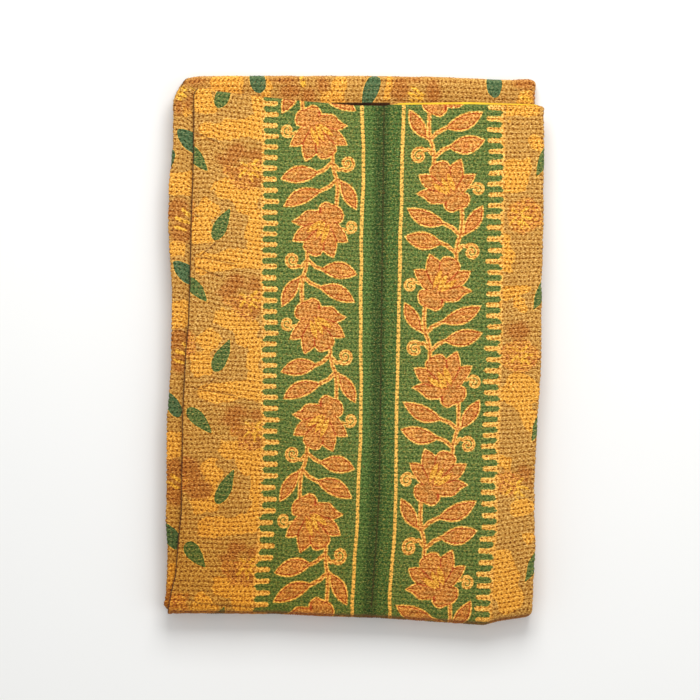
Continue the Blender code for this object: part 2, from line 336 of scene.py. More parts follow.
# ---- stage ----
FLOOR_HALF = 4.0
FLOOR_GAP = 0.2 * MM            # under the pile
PICTURE = 700                   # pixels along each side of the photo
PIXEL = 1.03 * MM               # one photo pixel on the top of the pile
PICTURE_MIDDLE = -4.12 * MM     # x of the photo's middle
FOCAL_LENGTH = 400.0            # mm, long, as the sides of the pile don't show
SENSOR_WIDTH = 36.0
SURROUNDINGS_STRENGTH = 0.58


def linear_from_hex(code):
    """An sRGB colour such as #f2b040 as linear red, green and blue."""
    parts = [int(code[i:i + 2], 16) / 255 for i in (1, 3, 5)]
    return tuple(c / 12.92 if c <= 0.04045 else ((c + 0.055) / 1.055) ** 2.4 for c in parts)


def length(name, description, default_mm):
    return bpy.props.FloatProperty(
        name=name, description=description, default=default_mm * MM, min=0, subtype="DISTANCE", unit="LENGTH")


def colour(name, description, code):
    return bpy.props.FloatVectorProperty(
        name=name, description=description, default=linear_from_hex(code), min=0, max=1, subtype="COLOR")


class KanthaSizes(bpy.types.PropertyGroup):
    thickness: length("Cloth thickness", "Two or three thin cottons quilted together", 1.6)
    gap: length("Gap", "Air between neighbouring levels", 0.5)
    lip: length("Hem lip", "How far the rounded hem stands out", 0.5)
    row: length("Row spacing", "From one row of stitches to the next", 4.75)
    stitch: length("Stitch spacing", "From one stitch to the next in a row", STITCH_SPACING)
    stitch_length: length("Stitch length", "Thread that shows in each stitch", 1.45)
    thread: length("Thread width", "Width of the flattened thread", 0.85)
    pucker: length("Pucker", "How deep a row of stitches pulls the cloth in", 0.75)
    crinkle: length("Crinkle", "Height of the small creases between stitches", 0.34)
    swell: length("Swell", "Height of the soft unevenness of the top", 0.8)
    waver: length("Waver", "How far the rows stray from straight lines", 3.2)


class KanthaColours(bpy.types.PropertyGroup):
    bright: colour("Bright ochre", "Ground cloth where the lighter ochre is printed", "#eaa53b")
    dull: colour("Dull ochre", "Ground cloth in its duller ochre", "#c59040")
    brown: colour("Brown", "Large flowers of the ground", "#a05826")
    stroke: colour("Yellow strokes", "Strokes in the flowers", "#f0b238")
    green: colour("Green", "Ground of the vine borders", "#5d7837")
    stripe: colour("Stripe green", "Stripe between the vine borders", "#3e682c")
    leaf: colour("Leaf green", "Loose leaves on the panel", "#5a7138")
    teal: colour("Teal", "Loose leaves on the older print", "#506c43")
    outline: colour("Outline", "Reserved yellow outlines of vines and comb", "#fabd54")
    petal: colour("Petal", "Fill of vine flowers and leaves", "#dc8f3e")
    line: colour("Line", "Fine red-brown lines in petals and leaves", "#b5451b")
    # Painted highlight on the green's weave.
    green_glint: colour("Green glint", "Painted highlight on the tops of the green weave", "#bcbc76")
    glint: colour("Glint", "Threads that catch the light", "#f9c465")
    # Painted shade of the side hem and the creases.
    hem_and_crease_shade: colour("Hem and crease shade", "Dark line of the creases and the side hem", "#3f1912")
    tuck: colour("Tuck", "Shade in the tuck under the end hem", "#270703")
    lining: colour("Lining", "Plain back of the quilt", "#f0c030")
    thread: colour("Thread", "Stitching thread", "#8c4a0a")
    floor: colour("Floor", "Pale floor", "#f4f4f2")


# ---- fold paths ----
Stations = namedtuple("Stations", "along height normal_along normal_height reach first second arc unrolled")


def read(table, value):
    """The second column of a table in mm, found along its first."""
    first, second = np.array(table).T * MM
    return np.interp(value, first, second)


class Path:
    """Stations along a fold path: where the middle of the cloth runs and which way it faces."""

    def __init__(self):
        self.rows = []
        self.arc = 0.0
        self.stretches = {}

    def add(self, along, height, angle, reach, first, second):
        if self.rows:
            self.arc += math.hypot(along - self.rows[-1][0], height - self.rows[-1][1])
        self.rows.append((along, height, angle, reach, first, second, self.arc))

    def run(self, name, start, end, spacing, height, angle, near, first=0.0, second=0.0, far=None):
        """A straight stretch, with stations where the cloth's own length is a multiple of the spacing."""
        begin = len(self.rows)
        far = max(start, end) if far is None else far
        way = 1 if end > start else -1
        joint = self.arc
        if self.rows:
            joint += math.hypot(start - self.rows[-1][0], height - self.rows[-1][1])
        count = np.arange(math.floor(joint / spacing) + 1, math.ceil((joint + abs(end - start)) / spacing))
        inner = [k * spacing - joint for k in count]
        clear = spacing / 4
        inner = [d for d in inner if clear < d < abs(end - start) - clear]
        for along in (start, *(start + way * d for d in inner), end):
            if self.rows and abs(along - self.rows[-1][0]) + abs(height - self.rows[-1][1]) < 1e-9:
                continue
            self.add(along, height, angle, (along - near) / (far - near), first, second)
        self.stretches[name] = (max(begin - 1, 0) if self.rows else 0, len(self.rows) - 1)

    def turn(self, name, along, height, radius, angles, steps, reach, first=(0, 0), second=(0, 0)):
        """Part of a circle; a radius below zero turns towards the printed face."""
        begin = len(self.rows) - 1
        for part in np.linspace(0, 1, steps + 1)[1:]:
            angle = angles[0] + (angles[1] - angles[0]) * part
            self.add(along - radius * np.sin(angle), height + radius * np.cos(angle), angle, reach,
                     first[0] + (first[1] - first[0]) * part,
                     second[0] + (second[1] - second[0]) * part)
        self.stretches[name] = (self.stretches.get(name, (begin, 0))[0], len(self.rows) - 1)

    def stations(self):
        along, height, angle, reach, first, second, arc = np.array(self.rows).T
        # Past a turn the print runs on, as if the cloth lay flat beyond the edge that shows.
        unrolled = arc + along[0] - arc[0]
        back = np.arange(len(arc)) > (self.stretches["level 4"][0] + self.stretches["level 4"][1]) // 2
        shown = self.stretches["single"][1]
        unrolled[back] = (arc - arc[shown] + along[shown])[back]
        return Stations(along, height, -np.sin(angle), np.cos(angle), reach, first, second, arc,
                        unrolled - along)


def fold_path(near, far, hems, thickness, gap, radius, slack, steps, spacings, band):
    """One strip folded in half twice, seen from the side, from its free edge on level 1."""
    half = thickness / 2
    pitch = thickness + gap
    levels = [(1.5 - level) * pitch for level in range(4)]
    turn_start = far - half - radius
    nested_start = far - 3 * half - gap - slack - pitch / 2
    single_start = near + half + pitch / 2
    quarter = np.pi / 2
    fine, middling, coarse = spacings
    wide, nested, single = steps

    path = Path()
    path.run("level 1", hems[0], turn_start, fine, levels[0], 0, hems[0], first=1)
    path.turn("wide", turn_start, levels[0] - radius, radius, (0, -quarter), wide, 1, (1, 0.5))
    path.add(far - half, levels[3] + radius, -quarter, 1, 0.5, 0)
    path.turn("wide", turn_start, levels[3] + radius, radius, (-quarter, -2 * quarter), wide, 1, (0.5, 0))
    path.run("level 4", turn_start, single_start, coarse, levels[3], -2 * quarter, single_start)
    path.turn("single", single_start, (levels[2] + levels[3]) / 2, pitch / 2, (-2 * quarter, -4 * quarter),
              single, 0)
    path.run("band", single_start, single_start + band, middling, levels[2], -4 * quarter, single_start,
             far=nested_start)
    path.run("level 3", single_start + band, nested_start, coarse, levels[2], -4 * quarter, single_start)
    path.turn("nested", nested_start, (levels[1] + levels[2]) / 2, -pitch / 2, (-4 * quarter, -2 * quarter),
              nested, 1, second=(0, 1))
    path.run("level 2", nested_start, hems[1], coarse, levels[1], -2 * quarter, hems[1], second=1)
    return path


def ease_across(plan_x, y, path, lower):
    """Moves points from the straight-sided plan out to the uneven side outlines."""
    left, hem, right = (read(upper, y) * (1 - lower) + read(under, y) * lower for upper, under in
                        ((UPPER_LEFT, LOWER_LEFT), (UPPER_HEM, LOWER_HEM), (UPPER_RIGHT, LOWER_RIGHT)))
    free = path.first + path.second
    return (plan_x + path.reach * (right - RIGHT_FOLD)
            + (1 - path.reach) * (free * (hem - TOP_HEM_X) + (1 - free) * (left - LEFT_FOLD)))


def ease_along(plan_y, x, path, across):
    """The same for the outlines of the two ends."""
    hems = (across.first * read(END_HEM["first"], x) + across.second * read(END_HEM["second"], x)
            + (1 - across.first - across.second) * read(END_HEM["pair"], x))
    free = path.first + path.second
    return (plan_y + path.reach * (read(BOTTOM_LINE, x) - BOTTOM_FOLD)
            + (1 - path.reach) * (free * (hems - TOP_HEM_Y) + (1 - free) * (read(TOP_LINE, x) - TOP_FOLD)))


def fold_both_ways(across, along, side, waver):
    """The points of one face of the cloth, side being its distance from the cloth's middle."""
    across = Stations(*(column[:, None] for column in across))
    along = Stations(*(column[None, :] for column in along))
    plan_x = across.along + side * across.normal_along
    rise = across.height + side * across.normal_height
    plan_y = -(along.along + rise * along.normal_along) + waver
    z = along.height + rise * along.normal_height

    # Pack 2 is like pack 1 at its free end and like the packs under it at its turn.
    lower = 1 - along.first - along.second * (1 - along.reach)
    y = plan_y
    for _ in range(2):
        x = ease_across(plan_x, y, across, lower)
        y = ease_along(plan_y, x, along, across)
    return np.stack([x, y, z], axis=-1)


def settle(points, height):
    """Raises the middle and sinks the old crease, more the higher a point lies, and not at all below."""
    x, y, z = np.moveaxis(points, -1, 0)
    pillow = PILLOW_RISE * (1 - (x / RIGHT_FOLD) ** 2) * (1 - (y / TOP_FOLD) ** 2)
    crease = CREASE_SINK * np.exp(-((x - CREASE_X) / CREASE_SPREAD) ** 2)
    points[..., 2] = z + (pillow - crease) * (z / height) ** 2
    return points


# ---- small shapes, all as distances that are positive inside ----
def soft_noise(x, y, size_x, size_y, seed):
    """Smooth random hills about size_x by size_y across, from -1 to 1."""
    lattice = np.random.default_rng(seed).uniform(-1, 1, (128, 128))
    column, row = np.floor(x / size_x).astype(int), np.floor(y / size_y).astype(int)
    across, up = (part * part * (3 - 2 * part) for part in (x / size_x - column, y / size_y - row))
    corners = [[lattice[(column + i) % 128, (row + j) % 128] for j in (0, 1)] for i in (0, 1)]
    near, far = (pair[0] * (1 - up) + pair[1] * up for pair in corners)
    return near * (1 - across) + far * across


def along_segment(x, y, start, end):
    """How far along the line from start to end each point is, from 0 to 1, and how far off it."""
    run = np.subtract(end, start)
    share = np.clip(((x - start[0]) * run[0] + (y - start[1]) * run[1]) / (run @ run), 0, 1)
    return share, np.hypot(x - start[0] - share * run[0], y - start[1] - share * run[1])


def oval_distance(x, y, centre_x, centre_y, half_width, half_height, degrees, roundness=2.0):
    """A tilted oval; a higher roundness makes it squarer."""
    turn = math.radians(degrees)
    across = np.abs((x - centre_x) * math.cos(turn) + (y - centre_y) * math.sin(turn)) / half_width
    up = np.abs((y - centre_y) * math.cos(turn) - (x - centre_x) * math.sin(turn)) / half_height
    reach = (across ** roundness + up ** roundness) ** (1 / roundness)
    return (1 - reach) * min(half_width, half_height)


def patch_distance(*place_and_size):
    """Nearer to a tilted rectangle than an oval is."""
    return oval_distance(*place_and_size, roundness=4.5)


def stroke_distance(x, y, start_x, start_y, end_x, end_y, half_width):
    return half_width - along_segment(x, y, (start_x, start_y), (end_x, end_y))[1]


def leaf_distance(x, y, base_x, base_y, tip_x, tip_y, half_width, taper=1.1):
    """Widest nearer its base, with a pointed tip."""
    run = np.subtract((tip_x, tip_y), (base_x, base_y))
    span = np.hypot(*run)
    share = ((x - base_x) * run[0] + (y - base_y) * run[1]) / span ** 2
    off = ((y - base_y) * run[0] - (x - base_x) * run[1]) / span
    within = np.clip(share, 0, 1)
    peak = 0.55 / (0.55 + taper)
    half = half_width * (within / peak) ** 0.55 * ((1 - within) / (1 - peak)) ** taper
    return half - np.abs(off) - span * np.abs(share - within)


def widest(shape, x, y, table):
    """The largest of a table's distances: inside any of its shapes."""
    return np.max([shape(x, y, *row) for row in table], axis=0)


# ---- the cloth's mesh ----
class Patchwork:
    """Cells of the cloth's grid: fine where it shows, coarse where it is hidden."""

    def __init__(self, columns, rows):
        self.used = np.zeros((columns, rows), bool)
        self.cells = []

    def cover(self, columns, rows, strides):
        lines = [sorted({*range(ends[0], ends[1], stride), ends[1]})
                 for ends, stride in zip((columns, rows), strides)]
        self.used[np.ix_(*lines)] = True
        for i, after_i in zip(lines[0], lines[0][1:]):
            for j, after_j in zip(lines[1], lines[1][1:]):
                self.cells.append((i, after_i, j, after_j))

    def faces(self, index, outward):
        """Each cell as one face through every used point on its border."""
        made = []
        for i, after_i, j, after_j in self.cells:
            if after_i - i == 1 and after_j - j == 1:
                ring = [(i, j), (after_i, j), (after_i, after_j), (i, after_j)]
            else:
                ring = ([(a, j) for a in range(i, after_i)] + [(after_i, b) for b in range(j, after_j)]
                        + [(a, after_j) for a in range(after_i, i, -1)]
                        + [(i, b) for b in range(after_j, j, -1)])
                ring = [at for at in ring if self.used[at]]
            face = [index[at] for at in ring]
            made.append(face if outward else face[::-1])
        return made


def rim_of(columns, rows):
    """Column and row of each point round the border of the grid, in order."""
    return ([(i, 0) for i in range(columns - 1)] + [(columns - 1, j) for j in range(rows - 1)]
            + [(i, rows - 1) for i in range(columns - 1, 0, -1)] + [(0, j) for j in range(rows - 1, 0, -1)])


class Cloth:
    """The folded cloth as grids of points, shared by the mesh and by the stitches on it."""

    def __init__(self, sizes):
        pack = 4 * sizes.thickness + 3 * sizes.gap
        height = 4 * pack + 3 * sizes.gap
        third = sizes.row / 3
        self.row = sizes.row
        self.across_path = fold_path(
            LEFT_FOLD, RIGHT_FOLD, (TOP_HEM_X, SECOND_HEM_X), sizes.thickness, sizes.gap, SIDE_TURN_RADIUS,
            SIDE_TURN_SLACK, SIDE_TURN_STEPS, (COLUMN_SPACING, COLUMN_SPACING, HIDDEN_SPACING), EDGE_BAND)
        self.along_path = fold_path(
            -TOP_FOLD, -BOTTOM_FOLD, (-TOP_HEM_Y, -SECOND_HEM_Y), pack, sizes.gap, END_TURN_RADIUS,
            END_TURN_SLACK, END_TURN_STEPS, (third, third, sizes.row / 2), END_BAND)
        self.across = self.across_path.stations()
        self.along = self.along_path.stations()

        flat_x, flat_y = self.across.along[:, None] / MM, -self.along.along[None, :] / MM
        inset = np.minimum(np.minimum(flat_y + 262, 252 - flat_y), np.minimum(flat_x + 169, 186 - flat_x))
        waver = sizes.waver * np.clip(inset / 30, 0, 1) * (self.along.first > 0.99)
        waver = waver * (soft_noise(flat_x, flat_y, 42, 44, 3) + 0.25 * soft_noise(flat_x, flat_y, 17, 17, 4))
        faces = []
        for side in (sizes.thickness / 2, -sizes.thickness / 2):
            points = fold_both_ways(self.across, self.along, side, waver)
            points[..., 2] += height / 2
            faces.append(settle(points, height))
        low, high = (end_of([end_of(face.reshape(-1, 3), axis=0) for face in faces], axis=0)
                     for end_of in (np.min, np.max))
        self.shift = np.array([(low[0] + high[0]) / 2, (low[1] + high[1]) / 2, low[2]])
        self.printed, self.lining = faces
        self.outward = self.printed - self.lining
        self.outward /= np.linalg.norm(self.outward, axis=-1, keepdims=True)
        self.shows = self.share_that_shows()
        self.rows_at = self.along.arc / self.row
        self.row_distance = np.abs(self.rows_at - np.round(self.rows_at)) * self.row
        self.phase = self.stitch_phase(sizes)
        self.rumple(sizes)
        self.printed = self.printed - self.shift
        self.lining = self.lining - self.shift
        self.print_grids = self.prints()

    def stretch(self, path, *names):
        """True for the stations of these stretches of a path."""
        inside = np.zeros(len(path.rows), bool)
        for name in names:
            start, end = path.stretches[name]
            inside[start:end + 1] = True
        return inside

    def share_that_shows(self):
        """1 where the printed face can be seen, 0 where it is inside the pile."""
        facing_up = np.clip((self.outward[..., 2] + 0.5) / 0.5, 0, 1)
        sideways = np.clip(1 - np.abs(self.outward[..., 2]), 0, 1)
        x, y = self.printed[..., 0], self.printed[..., 1]
        first = self.stretch(self.across_path, "level 1", "wide")[:, None]
        edge = self.stretch(self.across_path, "single", "band")[:, None]
        beside = np.clip((read(UPPER_HEM, y) - 3 * MM - x) / (4 * MM), 0, 1)
        pack_1 = self.stretch(self.along_path, "level 1", "wide")[None, :]
        pack_3 = self.stretch(self.along_path, "single", "band")[None, :]
        beyond = np.clip((y - read(END_HEM["first"], x) - 3 * MM) / (4 * MM), 0, 1)
        turns = self.stretch(self.across_path, "single", "wide")[:, None]
        from_above = facing_up * (first + edge * beside) * (pack_1 + pack_3 * beyond)
        return np.clip(from_above + sideways * turns, 0, 1)

    def stitch_phase(self, sizes):
        """Counts stitches along each row, each of which starts elsewhere. Whole numbers are their middles."""
        row = np.round(self.rows_at).astype(int)
        start = np.random.default_rng(11).uniform(0, 1, row.max() + 1)[row][None, :]
        arc = self.across.arc[:, None]
        uneven = 0.30 * soft_noise(arc / MM, row[None, :] * 37.0, 9, 1, 12)
        return arc / sizes.stitch + start + uneven

    def rumple(self, sizes):
        """Puckers along the rows, crinkles between the stitches, creases and soft swells."""
        x, y = self.printed[..., 0] / MM, self.printed[..., 1] / MM
        u = x + self.across.unrolled[:, None] / MM
        v = y - self.along.unrolled[None, :] / MM
        valley = np.exp(-(self.row_distance[None, :] / (1.15 * MM)) ** 2)
        drawn = 0.75 + 0.45 * soft_noise(u, v, 14, 11, 5)
        at_stitch = 0.5 + 0.5 * np.cos(2 * np.pi * self.phase)
        relief = -sizes.pucker * valley * drawn * (0.45 + 0.7 * at_stitch)
        relief = relief + sizes.pucker * 0.35 * (1 - valley)
        relief = relief + sizes.crinkle * (soft_noise(u, v, 5.5, 3.4, 6) + 0.7 * soft_noise(u, v, 11, 4.4, 7))
        swell = soft_noise(u, v, 58, 44, 8) + 0.55 * soft_noise(u, v, 24, 17, 9)
        relief = relief + sizes.swell * 0.6 * (swell + 0.7)
        for x0, y0, x1, y1, depth, half_width in CREASES:
            share, off = along_segment(x, y, (x0, y0), (x1, y1))
            deep = depth * np.sin(np.pi * np.clip(share, 0.04, 0.96)) ** 0.5
            trough = np.exp(-(off / half_width) ** 2)
            shoulder = np.exp(-((off - 2.2 * half_width) / half_width) ** 2)
            relief = relief + MM * deep * (0.45 * shoulder - trough)
        # The turned-in hem is a ridge, and its line of stitches a groove, both in mm from the edge.
        hem = self.across.arc[:, None] / MM
        ridge = 0.55 * np.exp(-((hem - 2.4) / 1.3) ** 2) - 0.30 * np.exp(-((hem - 4.8) / 1.2) ** 2)
        relief = relief + MM * ridge
        relief = np.maximum(relief, -0.8 * sizes.thickness + 0.5 * MM) * self.shows
        self.printed = self.printed + self.outward * relief[..., None]

    def straightened(self):
        """Where each point lies on the print, in mm, with the lean of the cloth taken out."""
        x, y, _ = np.moveaxis(self.printed + self.shift, -1, 0) / MM
        u = x + self.across.unrolled[:, None] / MM
        v = y - self.along.unrolled[None, :] / MM
        run = np.array(PRINT_RUN)[::-1]
        lines = [np.interp(v, run[:, 0], run[:, k]) for k in range(1, 5)]
        straight = [COMB_TIPS, STRIPE_LINE, 2 * STRIPE_MIDDLE - STRIPE_LINE, 2 * STRIPE_MIDDLE - COMB_TIPS]
        placed = u - lines[0] + straight[0]
        for k in range(3):
            share = np.clip((u - lines[k]) / (lines[k + 1] - lines[k]), 0, 1)
            placed = placed + share * ((straight[k + 1] - straight[k]) - (lines[k + 1] - lines[k]))
        placed = placed + 0.9 * soft_noise(u, v, 34, 30, 21)
        v = v + 1.3 * soft_noise(u, v, 40, 46, 22)
        return placed, v, u

    def prints(self):
        """Named values for the material: places on the print, stitches, and shapes of the ground print."""
        placed, v, u = self.straightened()
        x, y, _ = np.moveaxis(self.printed + self.shift, -1, 0) / MM
        of_pack_1 = self.stretch(self.along_path, "level 1", "wide")[None, :]
        panel = of_pack_1 & self.stretch(self.across_path, "level 1", "wide")[:, None]
        band = ~of_pack_1 & np.ones_like(panel)
        strip = self.stretch(self.across_path, "single", "band")[:, None] & np.ones_like(panel)
        wobble_x, wobble_y = (3.6 * soft_noise(u, v, 13, 11, seed) + 1.8 * soft_noise(u, v, 4, 4, seed + 1)
                              for seed in (31, 33))
        printed_v = v + np.interp(v, *np.array(PRINT_DROP).T)
        strays = np.array(GROUND_STRAYS).T
        at_left = placed < 0
        ground_u = placed - at_left * np.interp(v, strays[0], strays[1])
        ground_v = printed_v + at_left * np.interp(v, strays[0], strays[2])
        down = np.mod(GROUND_START - ground_v + GROUND_LEAD, GROUND_REPEAT) - GROUND_LEAD
        repeats = [(ground_u, down + step * GROUND_REPEAT) for step in (-1, 0, 1)]
        once = [(x, v)]

        def drawn(places, shape, table, rough=1.0):
            """Distances inside a table's shapes, with edges that wobble."""
            return np.max([widest(shape, a + rough * wobble_x, b + rough * wobble_y, table)
                           for a, b in places], axis=0)

        def everywhere(on_panel, shape, band_table, strip_table, rough=1.0):
            """The panel's shapes, and the tables of the band and the strip where those show."""
            on_band, on_strip = (drawn(once, shape, table, rough) for table in (band_table, strip_table))
            return np.select([panel, band, strip], [on_panel, on_band, on_strip], on_band)

        leaf = drawn(repeats, leaf_distance, GROUND_LEAVES, 0.15)
        leaf = everywhere(leaf, leaf_distance, BAND_LEAVES, STRIP_LEAVES, 0.15)
        bright = np.maximum(drawn(repeats, patch_distance, BRIGHT_PATCHES),
                            drawn(once, patch_distance, LONE_BRIGHTS))
        bright = everywhere(bright, patch_distance, BAND_BRIGHTS, STRIP_BRIGHTS)
        brown = np.minimum(drawn(repeats, oval_distance, BROWN_PATCHES, 0.9),
                           -drawn(repeats, oval_distance, INNER_PETALS, 0.5))
        brown = np.maximum(brown, drawn(repeats, stroke_distance, GROUND_STEMS, 0.3))
        brown = np.maximum(brown, drawn(once, oval_distance, LONE_BROWNS, 0.9))
        brown = everywhere(brown, oval_distance, BAND_BROWNS, STRIP_BROWNS, 0.4)
        rusty = np.maximum(drawn(repeats, oval_distance, RUSTY_PATCHES, 0.8),
                           drawn(once, oval_distance, LONE_RUSTY, 0.8))
        rusty = np.where(panel, rusty, FAR_OUTSIDE)
        star = [(STAR_X + x0, STAR_DOWN - y0, STAR_X + x1, STAR_DOWN - y1, half)
                for x0, y0, x1, y1, half in STAR]
        lone_stars = [(a + x0, b + y0, a + x1, b + y1, half)
                      for a, b in LONE_STARS for x0, y0, x1, y1, half in STAR]
        stroke = np.maximum(drawn(repeats, stroke_distance, star, 0.3),
                            drawn(once, stroke_distance, lone_stars, 0.3))
        stroke = everywhere(stroke, stroke_distance, BAND_STROKES, STRIP_STROKES, 0.3)
        # Where the bottom turn faces away from the top, for its painted shade.
        turned_away = np.clip(-self.outward[..., 1] / 0.1 - 6.5, 0, 1)
        rolled = turned_away * self.stretch(self.along_path, "wide")[None, :]
        off_row, from_hem = (np.broadcast_to(distance / MM, panel.shape)
                             for distance in (self.row_distance, self.across.arc[:, None]))
        values = {
            "place": (placed, printed_v, np.where(panel, PANEL_SIGN, -PANEL_SIGN)),
            "stitching": (self.phase, off_row, from_hem),
            "ground": (leaf, bright, brown),
            "strokes": (stroke, np.where(panel, 0.0, 1.0), rusty),
            "plan": (x, y, rolled),
        }
        return {name: np.stack(parts, axis=-1) for name, parts in values.items()}

    def patchwork(self):
        """Fine cells where the printed face shows, and coarse ones inside the pile."""
        work = Patchwork(len(self.across.arc), len(self.along.arc))
        for across_name, columns in self.across_path.stretches.items():
            for along_name, rows in self.along_path.stretches.items():
                shown = across_name in ("level 1", "wide", "single", "band")
                coarse = {"level 1": 15, "band": 12, "wide": 1, "single": 1, "nested": 1}
                strides = [{"level 1": 12, "band": 12}.get(across_name, 1), coarse.get(along_name, 10)]
                if across_name in ("wide", "single") or shown and along_name in ("level 1", "wide", "band"):
                    strides = [1, 1]
                elif shown and along_name == "single":
                    strides = [2 if across_name == "level 1" else 1, 1]
                work.cover(columns, rows, strides)
        return work

    def plain_patchwork(self):
        """The lining, coarse all over but for its turns."""
        work = Patchwork(len(self.across.arc), len(self.along.arc))
        for across_name, columns in self.across_path.stretches.items():
            for along_name, rows in self.along_path.stretches.items():
                work.cover(columns, rows, ({"level 1": 10, "band": 10}.get(across_name, 1),
                                           {"wide": 1, "single": 1, "nested": 1}.get(along_name, 15)))
        return work

    def mesh(self, lip_width):
        """One closed mesh: printed face, lining, and the rounded lip of the hem round their border."""
        works = self.patchwork(), self.plain_patchwork()
        columns, rows = works[0].used.shape
        rim = [at for at in rim_of(columns, rows) if works[0].used[at] or works[1].used[at]]
        index, points, count = [], [], 0
        for work, face in zip(works, (self.printed, self.lining)):
            for at in rim:
                work.used[at] = True
            number = np.full(work.used.shape, -1)
            number[work.used] = count + np.arange(work.used.sum())
            count += int(work.used.sum())
            index.append(number)
            points.append(face[work.used])
        middle = (self.printed + self.lining) / 2
        lip = []
        for i, j in rim:
            out = middle[i, j] - middle[min(max(i, 1), columns - 2), min(max(j, 1), rows - 2)]
            lip.append(middle[i, j] + out / np.linalg.norm(out) * lip_width)
        faces = works[0].faces(index[0], False) + works[1].faces(index[1], True)
        for k, at in enumerate(rim):
            after = (k + 1) % len(rim)
            top, top_after = index[0][at], index[0][rim[after]]
            under, under_after = index[1][at], index[1][rim[after]]
            edge, edge_after = count + k, count + after
            faces += [(top, top_after, edge_after, edge), (edge, edge_after, under_after, under)]
        slots = [0] * len(works[0].cells) + [1] * len(works[1].cells) + [0] * 2 * len(rim)
        values = {name: np.concatenate([*(grid[work.used] for work in works), [grid[at] for at in rim]])
                  for name, grid in self.print_grids.items()}
        return np.concatenate([*points, lip]), faces, slots, values

    def sample(self, grid, columns, rows):
        """Values of a grid between its points, at fractional columns and rows."""
        i = np.clip(np.floor(columns).astype(int), 0, grid.shape[0] - 2)
        j = np.clip(np.floor(rows).astype(int), 0, grid.shape[1] - 2)
        a, b = (columns - i)[:, None], (rows - j)[:, None]
        return ((grid[i, j] * (1 - a) + grid[i + 1, j] * a) * (1 - b)
                + (grid[i, j + 1] * (1 - a) + grid[i + 1, j + 1] * a) * b)

    def place_stitches(self, columns, rows, along_row=True):
        """Points, directions, outward normals, places on the print and leaf distances at these places."""
        ahead = (columns + STITCH_STEP, rows) if along_row else (columns, rows + STITCH_STEP)
        point, outward, place, ground = (self.sample(grid, columns, rows) for grid in (
            self.printed, self.outward, self.print_grids["place"], self.print_grids["ground"]))
        direction = self.sample(self.printed, *ahead) - point
        direction /= np.maximum(np.linalg.norm(direction, axis=1, keepdims=True), 1e-9)
        return point, direction, outward, place, ground[:, 0]


def build_mesh(name, points, faces, materials, slots=None):
    """A smooth-shaded piece; slots say which of the materials each face has."""
    mesh = bpy.data.meshes.new(name)
    mesh.from_pydata(points.tolist(), [], faces)
    for material in materials:
        mesh.materials.append(material)
    if slots is not None:
        mesh.polygons.foreach_set("material_index", slots)
    mesh.shade_smooth()
    piece = bpy.data.objects.new(name, mesh)
    bpy.context.scene.collection.objects.link(piece)
    return piece


# ---- nodes ----
MIX = "ShaderNodeMix"
RANGE = "ShaderNodeMapRange"
NOISE = "ShaderNodeTexNoise"
SPLIT = "ShaderNodeSeparateXYZ"
JOIN = "ShaderNodeCombineXYZ"
BUMP = "ShaderNodeBump"
ATTRIBUTE = "ShaderNodeAttribute"
RAMP = "ShaderNodeValToRGB"
SMOOTH = {"interpolation_type": "SMOOTHSTEP"}
COLOURED = {"data_type": "RGBA"}
SHARE, MIX_A, MIX_B, COLOUR_A, COLOUR_B = 0, 2, 3, 6, 7     # inputs of the mix node


def fill(tree, node, inputs):
    """Sets or links inputs. Each is a value, a socket, or a node for the first of its outputs in use."""
    for key, value in inputs.items():
        socket = node.inputs[key]
        if isinstance(value, bpy.types.Node):
            value = next(output for output in value.outputs if output.enabled)
        if isinstance(value, bpy.types.NodeSocket):
            tree.links.new(value, socket)
        else:
            socket.default_value = (*value, 1) if socket.type == "RGBA" else value
    return node


def add(tree, kind, *inputs, stops=(), **settings):
    """Adds a node with its settings and links. Its inputs are in order, or in one dict by name or place.

    A kind in capitals is an operation of the math node or, after VECTOR, of the vector math node.
    Stops are the places between 0 and 1 of a colour ramp, each with its colour.
    """
    if kind.isupper():
        *vector, settings["operation"] = kind.split()
        kind = "ShaderNodeVectorMath" if vector else "ShaderNodeMath"
    node = tree.nodes.new(kind)
    for name, value in settings.items():
        setattr(node, name, value)
    for _ in stops[2:]:
        node.color_ramp.elements.new(0.5)
    for k, (place, rgb) in enumerate(stops):
        node.color_ramp.elements[k].position = place
        node.color_ramp.elements[k].color = (*rgb, 1)
    named = inputs and isinstance(inputs[0], dict)
    return fill(tree, node, inputs[0] if named else dict(enumerate(inputs)))


def combined(tree, operation, *values):
    """One operation over several values, such as their smallest or their product."""
    return reduce(lambda result, value: add(tree, operation, result, value), values)


def off_line(tree, place, start, end):
    """Distance of a place from the line between two points."""
    run = np.subtract(end, start)
    share = run / (run @ run)
    from_start = add(tree, "VECTOR SUBTRACT", place, (*start, 0))
    along = add(tree, "VECTOR DOT_PRODUCT", from_start, (*share, 0))
    within = add(tree, "ADD", along, 0.0, use_clamp=True)
    beside = add(tree, "VECTOR SCALE", {0: (*run, 0), "Scale": within})
    return add(tree, "VECTOR DISTANCE", from_start, beside)


def stroke_nodes(tree, place, lines, half_width):
    """Lines of even width through points, positive inside."""
    offs = [off_line(tree, place, *ends) for line in lines for ends in zip(line, line[1:])]
    return add(tree, "SUBTRACT", half_width, combined(tree, "MINIMUM", *offs))


def leaf_nodes(tree, place, base_x, base_y, tip_x, tip_y, half_width, bend):
    """A pointed leaf whose middle line bows to one side, positive inside."""
    run = np.subtract((tip_x, tip_y), (base_x, base_y))
    span = float(np.hypot(*run))
    ahead, aside = run / span ** 2, np.array([-run[1], run[0]]) / span
    from_base = add(tree, "VECTOR SUBTRACT", place, (base_x, base_y, 0))
    share, off = (add(tree, "VECTOR DOT_PRODUCT", from_base, (*way, 0)) for way in (ahead, aside))
    both = add(tree, "MULTIPLY", share, add(tree, "SUBTRACT", 1.0, share))
    off = add(tree, "ABSOLUTE", add(tree, "MULTIPLY_ADD", both, -4 * bend, off))
    off = add(tree, "MULTIPLY", off, -LEAF_SLANT)
    return add(tree, "MULTIPLY_ADD", both, 4 * LEAF_SLANT * half_width, off)


